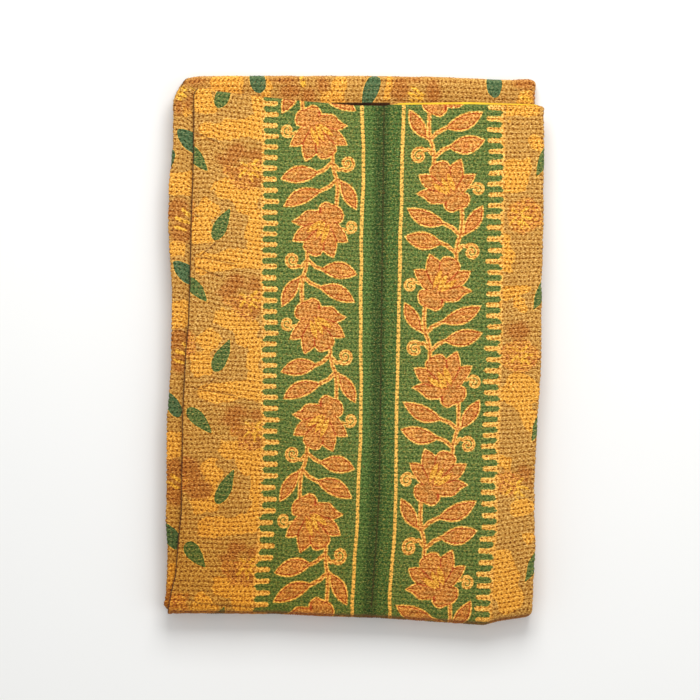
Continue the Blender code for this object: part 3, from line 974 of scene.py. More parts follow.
def round_from(tree, place):
    """Angle and distance of a place from the middle."""
    x, y, _ = add(tree, SPLIT, place).outputs
    return add(tree, "ARCTAN2", y, x), add(tree, "VECTOR LENGTH", place)


def curl_nodes(tree, place, centre_x, centre_y, radius, start, winding, half, stalk):
    """A tendril that winds inwards for a turn and a half."""
    pitch = CURL_PITCH * radius
    angle, reach = round_from(tree, add(tree, "VECTOR SUBTRACT", place, (centre_x, centre_y, 0)))
    turns = add(tree, "MULTIPLY_ADD", angle, winding / (2 * math.pi), 2 - winding * start / 360)
    outer = add(tree, "MULTIPLY_ADD", add(tree, "FRACT", turns), -pitch, radius)
    inner = add(tree, "SUBTRACT", outer, pitch)
    offs = [add(tree, "ABSOLUTE", add(tree, "SUBTRACT", reach, arm)) for arm in (outer, inner)]
    offs += [off_line(tree, place, *ends) for ends in zip(stalk, stalk[1:])]
    return add(tree, "SUBTRACT", half, combined(tree, "MINIMUM", *offs))


def through_points(tree, value, points, top):
    """What a value from 0 to 1 becomes on a line through points, no higher than top. True makes a corner."""
    node = add(tree, "ShaderNodeFloatCurve", {"Value": value})
    curve = node.mapping.curves[0]
    while len(curve.points) < len(points):
        curve.points.new(0.5, 0.5)
    for point, (x, y, corner) in zip(curve.points, sorted(points)):
        point.location = (x, y / top)
        point.handle_type = "VECTOR" if corner else "AUTO"
    node.mapping.update()
    return add(tree, "MULTIPLY", node, top)


def flower_nodes(tree, place):
    """The petals, positive inside and dipping along the seams between them; and the angle and distance."""
    angle, reach = round_from(tree, place)
    turn = add(tree, "MULTIPLY_ADD", angle, 1 / (2 * math.pi), 0.5)
    outline = [(degrees / 360 + 0.5, petal, corner) for degrees, petal, corner in PETALS]
    near, far = (through_points(tree, add(tree, "ADD", turn, step), outline, PETAL_CURVE_TOP)
                 for step in (0, PETAL_STEP))
    # Where the outline runs slanting, the distance square to it is shorter than the one along the petal.
    slope = add(tree, "DIVIDE", add(tree, "SUBTRACT", far, near), near)
    slope = add(tree, "MULTIPLY", slope, 1 / (2 * math.pi * PETAL_STEP))
    steep = add(tree, "SQRT", add(tree, "MULTIPLY_ADD", slope, slope, 1.0))
    edge = add(tree, "DIVIDE", add(tree, "SUBTRACT", near, reach), steep)

    # Angle to the nearest seam, at each seam, half-way between two, and where the angle starts anew.
    start = math.radians(180 - PETAL_SEAMS[-1])
    zigzag = [(-180, start), (180, start), *((seam, 0.0) for seam in PETAL_SEAMS)]
    zigzag += [((one + other) / 2, math.radians((other - one) / 2))
               for one, other in zip(PETAL_SEAMS, PETAL_SEAMS[1:])]
    gap = through_points(tree, turn, [(degrees / 360 + 0.5, away, True) for degrees, away in zigzag], 2.0)
    groove = add(tree, "MULTIPLY_ADD", add(tree, "MULTIPLY", gap, reach), 1.15, 1.75)
    groove = add(tree, "ADD", groove, add(tree, RANGE, reach, 4.0, 12.0, 1.1, 0.0))
    return add(tree, "MINIMUM", edge, groove), turn, reach


def band_place(tree, border_x, print_y, right, cut_above):
    """Where a place lies in one repeat of the vine, with every other repeat mirrored."""
    # Whole repeats are added, an even number, so that the count is never below 0.
    left_down = add(tree, "SUBTRACT", VINE_START[0] + cut_above + 2 * VINE_SPACING, print_y)
    right_down = add(tree, "ADD", print_y, cut_above + 8 * VINE_SPACING - VINE_START[1])
    down = add(tree, MIX, {SHARE: right, MIX_A: left_down, MIX_B: right_down})
    whole = add(tree, "FLOOR", add(tree, "MULTIPLY", down, 1 / VINE_SPACING))
    y = add(tree, "SUBTRACT", add(tree, "MULTIPLY_ADD", whole, -VINE_SPACING, down), cut_above)
    plain = add(tree, "SUBTRACT", border_x, FLOWER_PLACES[0])
    mirrored = add(tree, "SUBTRACT", FLOWER_PLACES[1], border_x)
    x = add(tree, MIX, {SHARE: add(tree, "MODULO", whole, 2.0), MIX_A: plain, MIX_B: mirrored})
    return add(tree, JOIN, x, y, 0.0)


def comb_nodes(tree, border_x, print_y, right):
    """Positive on the ochre side of the comb edge, negative on the green."""
    start = add(tree, MIX, {SHARE: right, MIX_A: COMB_START[0], MIX_B: COMB_START[1]})
    # 100 keeps the count of fingers above 0, and the half puts a finger in the middle of its share.
    count = add(tree, "MULTIPLY_ADD", add(tree, "SUBTRACT", print_y, start), 1 / FINGER_SPACING, 100.5)
    apart = add(tree, "ABSOLUTE", add(tree, "ADD", add(tree, "FRACT", count), -0.5))
    off_finger = add(tree, "MULTIPLY", apart, FINGER_SPACING)
    off_gap = add(tree, "SUBTRACT", FINGER_SPACING / 2, off_finger)
    # The fingers of the right comb are numbered from 977, to differ from those of the left one.
    number = add(tree, "MULTIPLY_ADD", right, 977.0, add(tree, "FLOOR", count))
    chance = add(tree, "ShaderNodeTexWhiteNoise", {"W": number}, noise_dimensions="1D")
    moved = add(tree, "MULTIPLY_ADD", add(tree, "ADD", chance, -0.5), FINGER_STRAY, border_x)

    past_tip = add(tree, "MAXIMUM", add(tree, "ADD", moved, FINGER_HALF - COMB_TIPS), 0.0)
    from_tip = add(tree, "VECTOR LENGTH", add(tree, JOIN, past_tip, off_finger, 0.0))
    finger = add(tree, "SUBTRACT", FINGER_HALF, from_tip)
    past_root = add(tree, "MAXIMUM", add(tree, "SUBTRACT", COMB_ROOTS + GAP_HALF, moved), 0.0)
    from_root = add(tree, "VECTOR LENGTH", add(tree, JOIN, past_root, off_gap, 0.0))
    gap = add(tree, "SUBTRACT", from_root, GAP_HALF)
    before_middle = add(tree, "SUBTRACT", (COMB_ROOTS + COMB_TIPS) / 2, moved)
    return add(tree, "MAXIMUM", finger, add(tree, "MINIMUM", gap, before_middle))


def laid_over(tree, under, over, distance, soft=0.45, out=0.0):
    """Over shows where the distance is above -out, with an edge as soft as dye in cotton."""
    share = add(tree, RANGE, distance, -soft - out, soft - out, 0.0, 1.0, **SMOOTH)
    return add(tree, MIX, {SHARE: share, COLOUR_A: under, COLOUR_B: over}, **COLOURED)


def shade(rgb, factor):
    """A colour made darker, or lighter by a factor above 1."""
    return tuple(min(c * factor, 1) for c in rgb)


def mixed(first, second, share=0.5):
    """A colour between two."""
    return tuple(a * (1 - share) + b * share for a, b in zip(first, second))


def new_material(name):
    material = bpy.data.materials.new(name)
    material.use_nodes = True
    return material, material.node_tree


def cotton_relief(tree, place, phase, off_row):
    """Weave, crinkle and the pits that the stitches pull, as a height in mm."""
    # Real threads lie 0.35 mm apart; these are drawn about 1 mm apart so that they show.
    spread = add(tree, "VECTOR MULTIPLY", place, (0.48, 0.95, 1))
    grain = add(tree, NOISE, {"Vector": spread, "Scale": 1.0, "Detail": 2.0, "Roughness": 0.7})
    from_stitch = add(tree, "SUBTRACT", phase, add(tree, "ROUND", phase))
    from_stitch = add(tree, JOIN, add(tree, "MULTIPLY", from_stitch, STITCH_SPACING), off_row, 0.0)
    away = add(tree, "VECTOR LENGTH", from_stitch)
    pit = add(tree, RANGE, away, 0.45, 1.55, 1.0, 0.0, **SMOOTH)
    relief = add(tree, "MULTIPLY_ADD", grain, 0.9, add(tree, "MULTIPLY", pit, -0.5))
    return relief, pit, grain


Print = namedtuple("Print", "flat wander border_x print_x comb not_green flower_place turn reach vine")


def border_print(tree, place):
    """Where the combs and vines lie: distances from their edges, positive inside, at a place on the print."""
    x, y, on_panel = add(tree, SPLIT, place).outputs
    flat = add(tree, JOIN, x, y, 0.0)
    # The dye bleeds a little, so every edge of the print wanders.
    bleed = add(tree, NOISE, {"Vector": flat, "Scale": 0.55, "Detail": 3.0, "Roughness": 0.65})
    wander = add(tree, "ADD", bleed, -0.5)
    shaken = add(tree, "VECTOR SUBTRACT", bleed.outputs["Color"], (0.5, 0.5, 0.5))
    shaken = add(tree, "VECTOR SCALE", {0: shaken, "Scale": 2.0})
    print_x, print_y, _ = add(tree, SPLIT, add(tree, "VECTOR ADD", flat, shaken)).outputs

    # The right border is the left one turned half round.
    right = add(tree, "GREATER_THAN", print_x, STRIPE_MIDDLE)
    turned = add(tree, "SUBTRACT", 2 * STRIPE_MIDDLE, print_x)
    border_x = add(tree, MIX, {SHARE: right, MIX_A: print_x, MIX_B: turned})
    comb = add(tree, "MULTIPLY_ADD", wander, 2.4, comb_nodes(tree, border_x, print_y, right))
    not_green = add(tree, "MAXIMUM", comb, add(tree, "MULTIPLY", on_panel, -1.0))

    flower_place, leaf_place = (band_place(tree, border_x, print_y, right, cut) for cut in VINE_CUTS)
    petals, turn, reach = flower_nodes(tree, flower_place)
    thin = combined(tree, "MAXIMUM", stroke_nodes(tree, leaf_place, STEMS, STEM_HALF),
                    curl_nodes(tree, leaf_place, *CURLS["stem"]),
                    curl_nodes(tree, flower_place, *CURLS["flower"]))
    vine = combined(tree, "MAXIMUM", petals, *(leaf_nodes(tree, leaf_place, *row) for row in LEAVES),
                    add(tree, "MINIMUM", thin, STEM_INK))
    return Print(flat, wander, border_x, print_x, comb, not_green, flower_place, turn, reach, vine)


def ochre_ground(tree, colours, edges, old_print, streaks, tints):
    """Two ochres, rusty and brown flowers with yellow strokes, and loose leaves."""
    leaf, bright, brown, stroke, rusty = edges
    dull = add(tree, MIX, {SHARE: tints, COLOUR_A: shade(colours.dull, 0.86),
                           COLOUR_B: shade(colours.dull, 1.18)}, **COLOURED)
    cloth = laid_over(tree, dull, colours.bright, bright, 0.35)
    rust_dye = add(tree, RAMP, streaks, stops=((0.42, mixed(colours.brown, colours.line, 0.4)),
                                               (0.50, mixed(colours.petal, colours.bright, 0.4)),
                                               (0.58, mixed(colours.bright, colours.outline, 0.3))))
    cloth = laid_over(tree, cloth, rust_dye, rusty, 1.2)
    brown_dye = add(tree, MIX, {SHARE: streaks, COLOUR_A: shade(colours.brown, 0.95),
                                COLOUR_B: mixed(colours.brown, colours.bright, 0.55)}, **COLOURED)
    pale_brown = add(tree, MIX, {SHARE: 0.5, COLOUR_A: cloth, COLOUR_B: brown_dye}, **COLOURED)
    leaf_dye = add(tree, MIX, {SHARE: old_print, COLOUR_A: colours.leaf, COLOUR_B: colours.teal}, **COLOURED)
    # columns: dye, distance inside its edge, softness of the edge, how far it is moved out
    for dye, edge, soft, out in (
            (pale_brown, brown, 1.0, 1.0), (brown_dye, brown, 1.0, -1.5), (colours.stroke, stroke, 0.7, 0.0),
            (mixed(colours.bright, colours.outline), leaf, 0.45, 0.7), (leaf_dye, leaf, 0.35, 0.0)):
        cloth = laid_over(tree, cloth, dye, edge, soft, out)
    return cloth


def green_border(tree, colours, printed, streaks):
    """The green ground of the vines, the darker stripe, and the yellow line between them."""
    upright = add(tree, "VECTOR MULTIPLY", printed.flat, (1.0, 0.3, 1.0))
    upright = add(tree, NOISE, {"Vector": upright, "Scale": 1.0, "Detail": 3.0, "Roughness": 0.65})
    woven = add(tree, "MULTIPLY", add(tree, "ADD", streaks, upright), 0.5)
    green = add(tree, RAMP, woven, stops=((0.38, shade(colours.green, 0.50)), (0.49, colours.green),
                                          (0.56, mixed(colours.green, colours.bright, 0.10)),
                                          (0.65, mixed(colours.green, colours.bright, 0.45))))
    stripe = add(tree, RAMP, woven, stops=((0.38, shade(colours.stripe, 0.40)), (0.51, colours.stripe),
                                           (0.63, mixed(colours.green, colours.bright, 0.40))))
    # Painted shade runs down the stripe along an old fold, just left of its middle; the stripe's left side is
    # more olive.
    from_fold = add(tree, "ABSOLUTE", add(tree, "SUBTRACT", STRIPE_MIDDLE - 1.5, printed.print_x))
    dark = add(tree, RANGE, from_fold, 3.0, 12.0, 0.6, 0.0, **SMOOTH)
    olive = add(tree, RANGE, printed.print_x, STRIPE_LINE + 4, STRIPE_MIDDLE - 2, 0.85, 0.25, **SMOOTH)
    for share, over in (
            (olive, mixed(colours.stripe, colours.green, 0.7)), (dark, shade(colours.stripe, 0.3))):
        stripe = add(tree, MIX, {SHARE: share, COLOUR_A: stripe, COLOUR_B: over}, **COLOURED)
    past_line = add(tree, "SUBTRACT", printed.border_x, STRIPE_LINE)
    line = add(tree, "SUBTRACT", STRIPE_LINE_HALF, add(tree, "ABSOLUTE", past_line))
    border = laid_over(tree, green, stripe, past_line, 0.5)
    return laid_over(tree, border, colours.outline, line, 0.5)


def vine_motif(tree, colours, printed, streaks, patches):
    """Petals and leaves: a yellow outline, a fine red line within, and an orange fill hatched in red."""
    vine = printed.vine
    fan = add(tree, JOIN, add(tree, "MULTIPLY", printed.turn, 44.0),
              add(tree, "MULTIPLY", printed.reach, 0.11), 0.0)
    fan = add(tree, NOISE, {"Vector": fan, "Scale": 1.0, "Detail": 2.0, "Roughness": 0.6})
    hatched = add(tree, "MULTIPLY", add(tree, "ADD", streaks, fan), 0.5)
    orange = add(tree, RAMP, hatched, stops=((0.36, mixed(colours.petal, colours.line, 0.6)),
                                             (0.46, shade(colours.petal, 0.95)), (0.54, colours.petal),
                                             (0.64, mixed(colours.petal, colours.outline, 0.75))))
    tan = add(tree, RANGE, patches, 0.46, 0.60, 0.0, 0.7, **SMOOTH)
    orange = add(tree, MIX, {SHARE: tan, COLOUR_A: orange,
                             COLOUR_B: mixed(colours.brown, colours.dull, 0.55)}, **COLOURED)
    inked = add(tree, RAMP, add(tree, "MULTIPLY", vine, 0.1),
                      stops=((0.0, colours.outline), (0.12, colours.outline), (0.175, colours.line),
                             (0.225, colours.line), (0.27, colours.petal)))
    filled = add(tree, RANGE, vine, 2.2, 2.8, 0.0, 1.0, **SMOOTH)
    motif = add(tree, MIX, {SHARE: filled, COLOUR_A: inked, COLOUR_B: orange}, **COLOURED)
    stamens = (leaf_nodes(tree, printed.flower_place, *row) for row in STAMENS)
    stamens = combined(tree, "MAXIMUM", *stamens)
    motif = laid_over(tree, motif, mixed(colours.line, colours.petal, 0.35), stamens, 0.4, 0.6)
    return laid_over(tree, motif, mixed(colours.stroke, colours.petal, 0.32), stamens, 0.4, -0.25)


def printed_cotton(colours):
    """Thin plain-woven cotton, block printed in ochre, brown and green, quilted and washed many
    times: matt, a little faded, with painted light and shade on its weave, each stitch a pit in painted
    shade, with soft crinkles between."""
    material, tree = new_material("washed block-printed cotton")
    place, stitching, ground, strokes, plan = (
        add(tree, ATTRIBUTE, attribute_name=name).outputs["Vector"]
        for name in ("place", "stitching", "ground", "strokes", "plan"))
    on_panel, rolled = (add(tree, SPLIT, value).outputs[2] for value in (place, plan))
    phase, off_row, from_hem = add(tree, SPLIT, stitching).outputs
    leaf, bright, brown = add(tree, SPLIT, ground).outputs
    stroke, old_print, rusty = add(tree, SPLIT, strokes).outputs
    printed = border_print(tree, place)
    flat, wander, comb, not_green = printed.flat, printed.wander, printed.comb, printed.not_green
    # columns: scale, detail, roughness
    tints, speckles, blotches, clouds, patches = (
        add(tree, NOISE, {"Vector": flat, "Scale": scale, "Detail": detail, "Roughness": roughness})
        for scale, detail, roughness in (
            (0.045, 4.0, 0.6), (0.45, 2.0, 0.6), (0.33, 4.0, 0.75), (0.07, 2.0, 0.5), (0.11, 3.0, 0.6)))
    streaks = add(tree, "VECTOR MULTIPLY", flat, (0.22, 1.1, 1.0))
    streaks = add(tree, NOISE, {"Vector": streaks, "Scale": 1.0, "Detail": 3.0, "Roughness": 0.6})
    relief, pit, grain = cotton_relief(tree, flat, phase, off_row)

    edges = [add(tree, "MULTIPLY_ADD", wander, amount, inside) for amount, inside in (
        (1.4, leaf), (1.5, bright), (5.0, brown), (3.0, stroke), (9.0, rusty))]
    cloth = ochre_ground(tree, colours, edges, old_print, streaks, tints)
    # Along the comb the ochre is paler, and its fingers have a yellow rim.
    near_comb = add(tree, "MINIMUM", add(tree, "ADD", printed.border_x, 1.5 - COMB_ROOTS), on_panel)
    cloth = laid_over(tree, cloth, mixed(colours.outline, colours.petal, 0.4), near_comb, 1.5)
    rim = add(tree, "MINIMUM", add(tree, "SUBTRACT", 1.5, comb), on_panel)
    cloth = laid_over(tree, cloth, colours.outline, rim, 0.5)
    border = laid_over(tree, green_border(tree, colours, printed, streaks),
                       vine_motif(tree, colours, printed, streaks, patches), printed.vine, 0.35)
    off_vine = add(tree, RANGE, printed.vine, 0.0, 0.5, 1.0, 0.0)
    # Painted highlight: pale green on the tops of the weave's bumps, off the vines.
    green_glint = add(tree, "MULTIPLY", add(tree, RANGE, grain, 0.56, 0.70, 0.0, 0.22), off_vine)
    border = add(tree, MIX, {SHARE: green_glint, COLOUR_A: border, COLOUR_B: colours.green_glint}, **COLOURED)
    cloth = laid_over(tree, border, cloth, not_green, 0.35)
    bare_green = add(tree, "MULTIPLY", off_vine, add(tree, RANGE, not_green, 0.0, 0.5, 1.0, 0.0))

    # Painted shade: the valleys along the rows are darker, in patches, and so are the pits of the stitches,
    # less so on the green border.
    valley = add(tree, RANGE, off_row, 0.15, 1.15, 1.0, 0.0, **SMOOTH)
    drawn = add(tree, "MULTIPLY", valley, add(tree, RANGE, clouds, 0.40, 0.60, 0.1, 1.0, **SMOOTH))
    drawn = add(tree, "MULTIPLY_ADD", drawn, -0.28, 1.0)
    # Painted light and shade on the weave: the tone rises with the height of its bumps, times a speckled dye
    # tone.
    faded = add(tree, "MULTIPLY", add(tree, RANGE, speckles, 0.36, 0.66, 0.80, 1.18),
                add(tree, RANGE, grain, 0.36, 0.64, 0.50, 1.54))
    in_pit = add(tree, "MULTIPLY_ADD", pit, add(tree, RANGE, speckles, 0.40, 0.62, -0.60, -0.28), 1.0)
    on_border = add(tree, RANGE, not_green, 0.0, 0.5, 0.3, 0.0)
    in_pit = add(tree, MIX, {SHARE: on_border, MIX_A: in_pit, MIX_B: 1.0})
    tone = combined(tree, "MULTIPLY", add(tree, "MINIMUM", faded, 1.48), drawn, in_pit)
    lively = combined(tree, "MAXIMUM", edges[1], edges[2], on_panel)
    glint = combined(tree, "MULTIPLY", add(tree, RANGE, grain, 0.55, 0.68, 0.0, 0.40),
                     add(tree, "SUBTRACT", 1.0, valley), add(tree, RANGE, lively, -0.5, 0.5, 0.4, 1.0),
                     add(tree, "MULTIPLY_ADD", bare_green, -0.85, 1.0))
    rust = add(tree, "MULTIPLY", add(tree, RANGE, blotches, 0.56, 0.68, 0.0, 0.55),
               add(tree, "MULTIPLY_ADD", pit, 0.7, 0.3))
    for share, over in ((glint, colours.glint), (rust, colours.line)):
        cloth = add(tree, MIX, {SHARE: share, COLOUR_A: cloth, COLOUR_B: over}, **COLOURED)
    # Where the tone is darker, from painted shade and speckled dye, the colour is deeper as well: ochre turns
    # red-brown, green turns bluer.
    on_green = add(tree, "MAXIMUM", bare_green, add(tree, RANGE, edges[0], 0.0, 0.5, 0.0, 1.0))
    depth = add(tree, MIX, {SHARE: on_green, COLOUR_A: OCHRE_DEPTH, COLOUR_B: GREEN_DEPTH}, **COLOURED)
    cloth = combined(tree, "VECTOR MULTIPLY", cloth, add(tree, "VECTOR POWER", tone, depth), WASHED_TINT)

    # Painted shade: towards the foot of the pile at the left the cloth is darker and its colours deeper.
    bottom_left_shade = add(tree, RANGE, add(tree, "VECTOR DOT_PRODUCT", plan, (-0.6, -1.0, 0.0)), 60.0, 330.0, 0.0, 1.0)
    deeper = add(tree, "VECTOR MULTIPLY", cloth, BOTTOM_LEFT_SHADE_TINT)
    # Painted shade: a dark line at the side hem, in the sharp creases and in the tuck under the end hem, and
    # a darker brown on the folded edges at the foot of the pile, where they turn away from the top.
    at_hem = add(tree, RANGE, from_hem, 0.3, 1.2, 0.8, 0.0, **SMOOTH)
    creases = [((x0, y0), (x1, y1)) for x0, y0, x1, y1, depth, _ in CREASES if depth > 0.5]
    in_crease = add(tree, RANGE, stroke_nodes(tree, plan, creases, 0.7), -0.7, 0.7, 0.0, 0.5, **SMOOTH)
    past_tuck = add(tree, "VECTOR ABSOLUTE", add(tree, "VECTOR SUBTRACT", plan, (*TUCK[:2], 0)))
    past_tuck = add(tree, SPLIT, add(tree, "VECTOR SUBTRACT", past_tuck, (*TUCK[2:], 0))).outputs
    past_tuck = combined(tree, "MAXIMUM", past_tuck[0], past_tuck[1], on_panel)
    # Painted shade on the bottom turn, a darker brown in streaks.
    bottom_turn_shade = add(tree, "MULTIPLY", rolled, add(tree, RANGE, streaks, 0.35, 0.6, 0.95, 0.45))
    for share, over in (
            (bottom_left_shade, deeper), (add(tree, "MAXIMUM", at_hem, in_crease), colours.hem_and_crease_shade),
            (add(tree, RANGE, past_tuck, -0.6, 0.8, 0.95, 0.0, **SMOOTH), colours.tuck),
            (bottom_turn_shade, shade(colours.brown, 0.6))):
        cloth = add(tree, MIX, {SHARE: share, COLOUR_A: cloth, COLOUR_B: over}, **COLOURED)

    fill(tree, tree.nodes["Principled BSDF"], {
        "Base Color": cloth, "Roughness": add(tree, RANGE, speckles, 0.3, 0.7, 0.82, 0.95),
        "Normal": add(tree, BUMP, {"Strength": 1.0, "Distance": MM, "Height": relief}),
        "Specular IOR Level": 0.15, "Sheen Weight": 0.04, "Sheen Roughness": 0.6})
    return material


def lining_cotton(colours):
    """The quilt's back: soft plain-woven yellow cotton, seen only where an edge peeps out."""
    material, tree = new_material("soft yellow lining cotton")
    where = add(tree, "ShaderNodeTexCoord").outputs["Object"]
    threads, clouds = (add(tree, NOISE, {"Vector": where, "Scale": scale, "Detail": 3.0})
                       for scale in (900.0, 60.0))
    fill(tree, tree.nodes["Principled BSDF"], {
        "Base Color": add(tree, RAMP, clouds, stops=((0.3, shade(colours.lining, 0.75)),
                                                     (0.7, shade(colours.lining, 1.1)))),
        "Normal": add(tree, BUMP, {"Strength": 0.6, "Distance": 0.3 * MM, "Height": threads}),
        "Roughness": 0.9, "Specular IOR Level": 0.25})
    return material


def stitching_thread(colours):
    """Twisted cotton thread, worn matt and darkened by washing; each stitch catches a little light."""
    material, tree = new_material("twisted cotton thread")
    where = add(tree, "ShaderNodeTexCoord").outputs["Object"]
    uneven = add(tree, NOISE, {"Vector": where, "Scale": 120.0, "Detail": 2.0})
    thread = add(tree, RAMP, uneven, stops=((0.35, shade(colours.thread, 0.6)), (0.55, colours.thread),
                                            (0.72, mixed(colours.thread, colours.petal, 0.5))))
    # Dye rubs off on the thread, so it is redder on the vines; on the green ground it is painted a dark
    # green, the shade of the pits it lies in.
    place = add(tree, ATTRIBUTE, attribute_name="place").outputs["Vector"]
    printed = border_print(tree, place)
    off_green = add(tree, "MAXIMUM", printed.vine, printed.not_green)
    on_panel = add(tree, SPLIT, place).outputs[2]
    on_vine = combined(tree, "MINIMUM", off_green, on_panel, printed.vine)
    on_leaf = add(tree, ATTRIBUTE, attribute_name="leaf").outputs["Fac"]
    on_green = add(tree, "MAXIMUM", on_leaf, add(tree, "SUBTRACT", -0.6, off_green))
    thread = laid_over(tree, thread, mixed(colours.thread, colours.line, 0.7), on_vine, 0.5)
    thread = laid_over(tree, thread, shade(colours.green, 0.40), on_green, 0.5)
    # Real ply turns every 0.3 mm; one turn a millimetre is as fine as can show.
    twist = add(tree, "ShaderNodeTexWave", {"Vector": where, "Scale": 1000 / 6.283}).outputs["Fac"]
    fill(tree, tree.nodes["Principled BSDF"], {
        "Base Color": thread,
        "Normal": add(tree, BUMP, {"Strength": 0.5, "Distance": 0.15 * MM, "Height": twist}),
        "Roughness": 0.8, "Specular IOR Level": 0.1})
    return material


def floor_paint(colours):
    """Smooth matt white board."""
    material, tree = new_material("matt white board")
    where = add(tree, "ShaderNodeTexCoord").outputs["Object"]
    grain = add(tree, NOISE, {"Vector": where, "Scale": 4.0, "Detail": 2.0})
    fill(tree, tree.nodes["Principled BSDF"], {
        "Base Color": add(tree, RAMP, grain, stops=((0.3, shade(colours.floor, 0.99)), (0.7, colours.floor))),
        "Roughness": 0.9, "Specular IOR Level": 0.1})
    return material


# ---- stitches ----
def stitch_tree(material):
    """Geometry nodes: a short flattened bead of thread on every point, laid along its direction."""
    tree = bpy.data.node_groups.new("running stitch", "GeometryNodeTree")
    face = tree.interface
    face.new_socket(name="Geometry", in_out="INPUT", socket_type="NodeSocketGeometry")
    for name, default in (("Length", 2.1 * MM), ("Width", 0.95 * MM), ("Height", 0.6 * MM)):
        socket = face.new_socket(name=name, in_out="INPUT", socket_type="NodeSocketFloat")
        socket.default_value = default
    face.new_socket(name="Geometry", in_out="OUTPUT", socket_type="NodeSocketGeometry")
    given = add(tree, "NodeGroupInput").outputs
    bead = add(tree, "GeometryNodeMeshUVSphere", {"Segments": 5, "Rings": 3, "Radius": 0.5})
    size = add(tree, JOIN, given["Height"], given["Width"], given["Length"])
    shaped = add(tree, "GeometryNodeTransform", {"Geometry": bead, "Scale": size})
    smooth = add(tree, "GeometryNodeSetShadeSmooth", shaped)
    direction, outward, pull = (
        add(tree, "GeometryNodeInputNamedAttribute", {"Name": name}, data_type=kind)
        for name, kind in (("direction", "FLOAT_VECTOR"), ("outward", "FLOAT_VECTOR"), ("pull", "FLOAT")))
    laid = add(tree, "FunctionNodeAlignRotationToVector", {"Vector": direction}, axis="Z")
    turned = add(tree, "FunctionNodeAlignRotationToVector", {"Rotation": laid, "Vector": outward},
                 axis="X", pivot_axis="Z")
    copies = add(tree, "GeometryNodeInstanceOnPoints", {
        "Points": given["Geometry"], "Instance": smooth, "Rotation": turned, "Scale": pull})
    solid = add(tree, "GeometryNodeRealizeInstances", copies)
    painted = add(tree, "GeometryNodeSetMaterial", {"Geometry": solid, "Material": material})
    add(tree, "NodeGroupOutput", painted)
    return tree


def sew(name, tree, sizes, stitches, scale=1.0):
    """One plain mesh of stitches from their points, directions and normals."""
    points, *values = (np.concatenate(part) for part in zip(*stitches))
    mesh = bpy.data.meshes.new(name + " points")
    mesh.from_pydata(points.tolist(), [], [])
    for label, value in zip(("direction", "outward", "pull", "place", "leaf"), values):
        kind, field = ("FLOAT", "value") if value.ndim == 1 else ("FLOAT_VECTOR", "vector")
        mesh.attributes.new(label, kind, "POINT").data.foreach_set(field, value.ravel())
    guide = bpy.data.objects.new(name + " guide", mesh)
    bpy.context.scene.collection.objects.link(guide)
    sewing = guide.modifiers.new("stitches", "NODES")
    sewing.node_group = tree
    wanted = {"Length": sizes.stitch_length, "Width": sizes.thread, "Height": FLATTENED * sizes.thread}
    for item in tree.interface.items_tree:
        if item.in_out == "INPUT" and item.name in wanted:
            sewing[item.identifier] = wanted[item.name] * scale
    made = bpy.data.meshes.new_from_object(guide.evaluated_get(bpy.context.evaluated_depsgraph_get()))
    made.name = name
    piece = bpy.data.objects.new(name, made)
    bpy.context.scene.collection.objects.link(piece)
    guide.modifiers.clear()
    bpy.data.objects.remove(guide)
    return piece


def rows_of_stitches(cloth, across_names, along_names):
    """Stitches of every row, over these stretches of the cloth, where they show."""
    chance = np.random.default_rng(17)
    columns_in = cloth.stretch(cloth.across_path, *across_names)
    rows_in = cloth.stretch(cloth.along_path, *along_names)
    found = []
    for row in range(1, int(cloth.rows_at[-1])):
        j = float(np.interp(row, cloth.rows_at, np.arange(len(cloth.rows_at))))
        nearest = int(round(j))
        if not rows_in[nearest]:
            continue
        runs = np.flatnonzero(columns_in)
        for part in np.split(runs, np.flatnonzero(np.diff(runs) > 1) + 1):
            phase = cloth.phase[part, nearest]
            i = np.interp(np.arange(math.ceil(phase[0]), math.floor(phase[-1]) + 1), phase, part)
            i = i + chance.normal(0, 0.07, len(i))
            rows = np.full(len(i), j) + chance.normal(0, 0.10, len(i))
            shows = cloth.sample(cloth.shows[..., None], i, rows)[:, 0]
            keep = (shows > 0.25) & (chance.random(len(i)) > SKIPPED_STITCHES)
            if not keep.any():
                continue
            point, direction, outward, place, leaf = cloth.place_stitches(i[keep], rows[keep])
            angle = chance.normal(0, 0.16, keep.sum())[:, None]
            direction = direction * np.cos(angle) + np.cross(outward, direction) * np.sin(angle)
            pull = chance.uniform(0.6, 1.2, keep.sum())
            found.append((point + outward * STITCH_RISE, direction, outward, pull, place, leaf))
    return found


def hem_stitches(cloth):
    """One line along the side hem and one along the end hem of the top level, close to the edge."""
    chance = np.random.default_rng(19)
    found = []
    # columns: the path of the line, the other path, its distance from the edge, where it starts, stray
    for along, other, inset, start, stray in (
            ("along", "across", SIDE_HEM_LINE, END_HEM_LINE, 0.05),
            ("across", "along", END_HEM_LINE, 2 * END_HEM_LINE, 0.08)):
        arc, other_arc = getattr(cloth, along).arc, getattr(cloth, other).arc
        first, last = getattr(cloth, along + "_path").stretches["level 1"]
        lengths = np.arange(arc[first] + start, arc[last], HEM_STITCH)
        runs = np.interp(lengths, arc, np.arange(len(arc)))
        beside = float(np.interp(inset, other_arc, np.arange(len(other_arc))))
        beside = beside + chance.normal(0, stray, len(runs))
        columns, rows = (runs, beside) if along == "across" else (beside, runs)
        point, direction, outward, place, leaf = cloth.place_stitches(columns, rows, along == "across")
        pull = chance.uniform(0.85, 1.15, len(runs))
        found.append((point + outward * HEM_STITCH_RISE, direction, outward, pull, place, leaf))
    return found


# ---- operators ----
FOLDED = {}


def folded_cloth(sizes):
    """The cloth in these sizes, folded once and shared by the operators."""
    key = tuple(getattr(sizes, name) for name in KanthaSizes.__annotations__)
    if key not in FOLDED:
        FOLDED[key] = Cloth(sizes)
    return FOLDED[key]


def declare(piece):
    """Every piece is cloth or thread, and nothing on it moves."""
    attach(piece, "root")


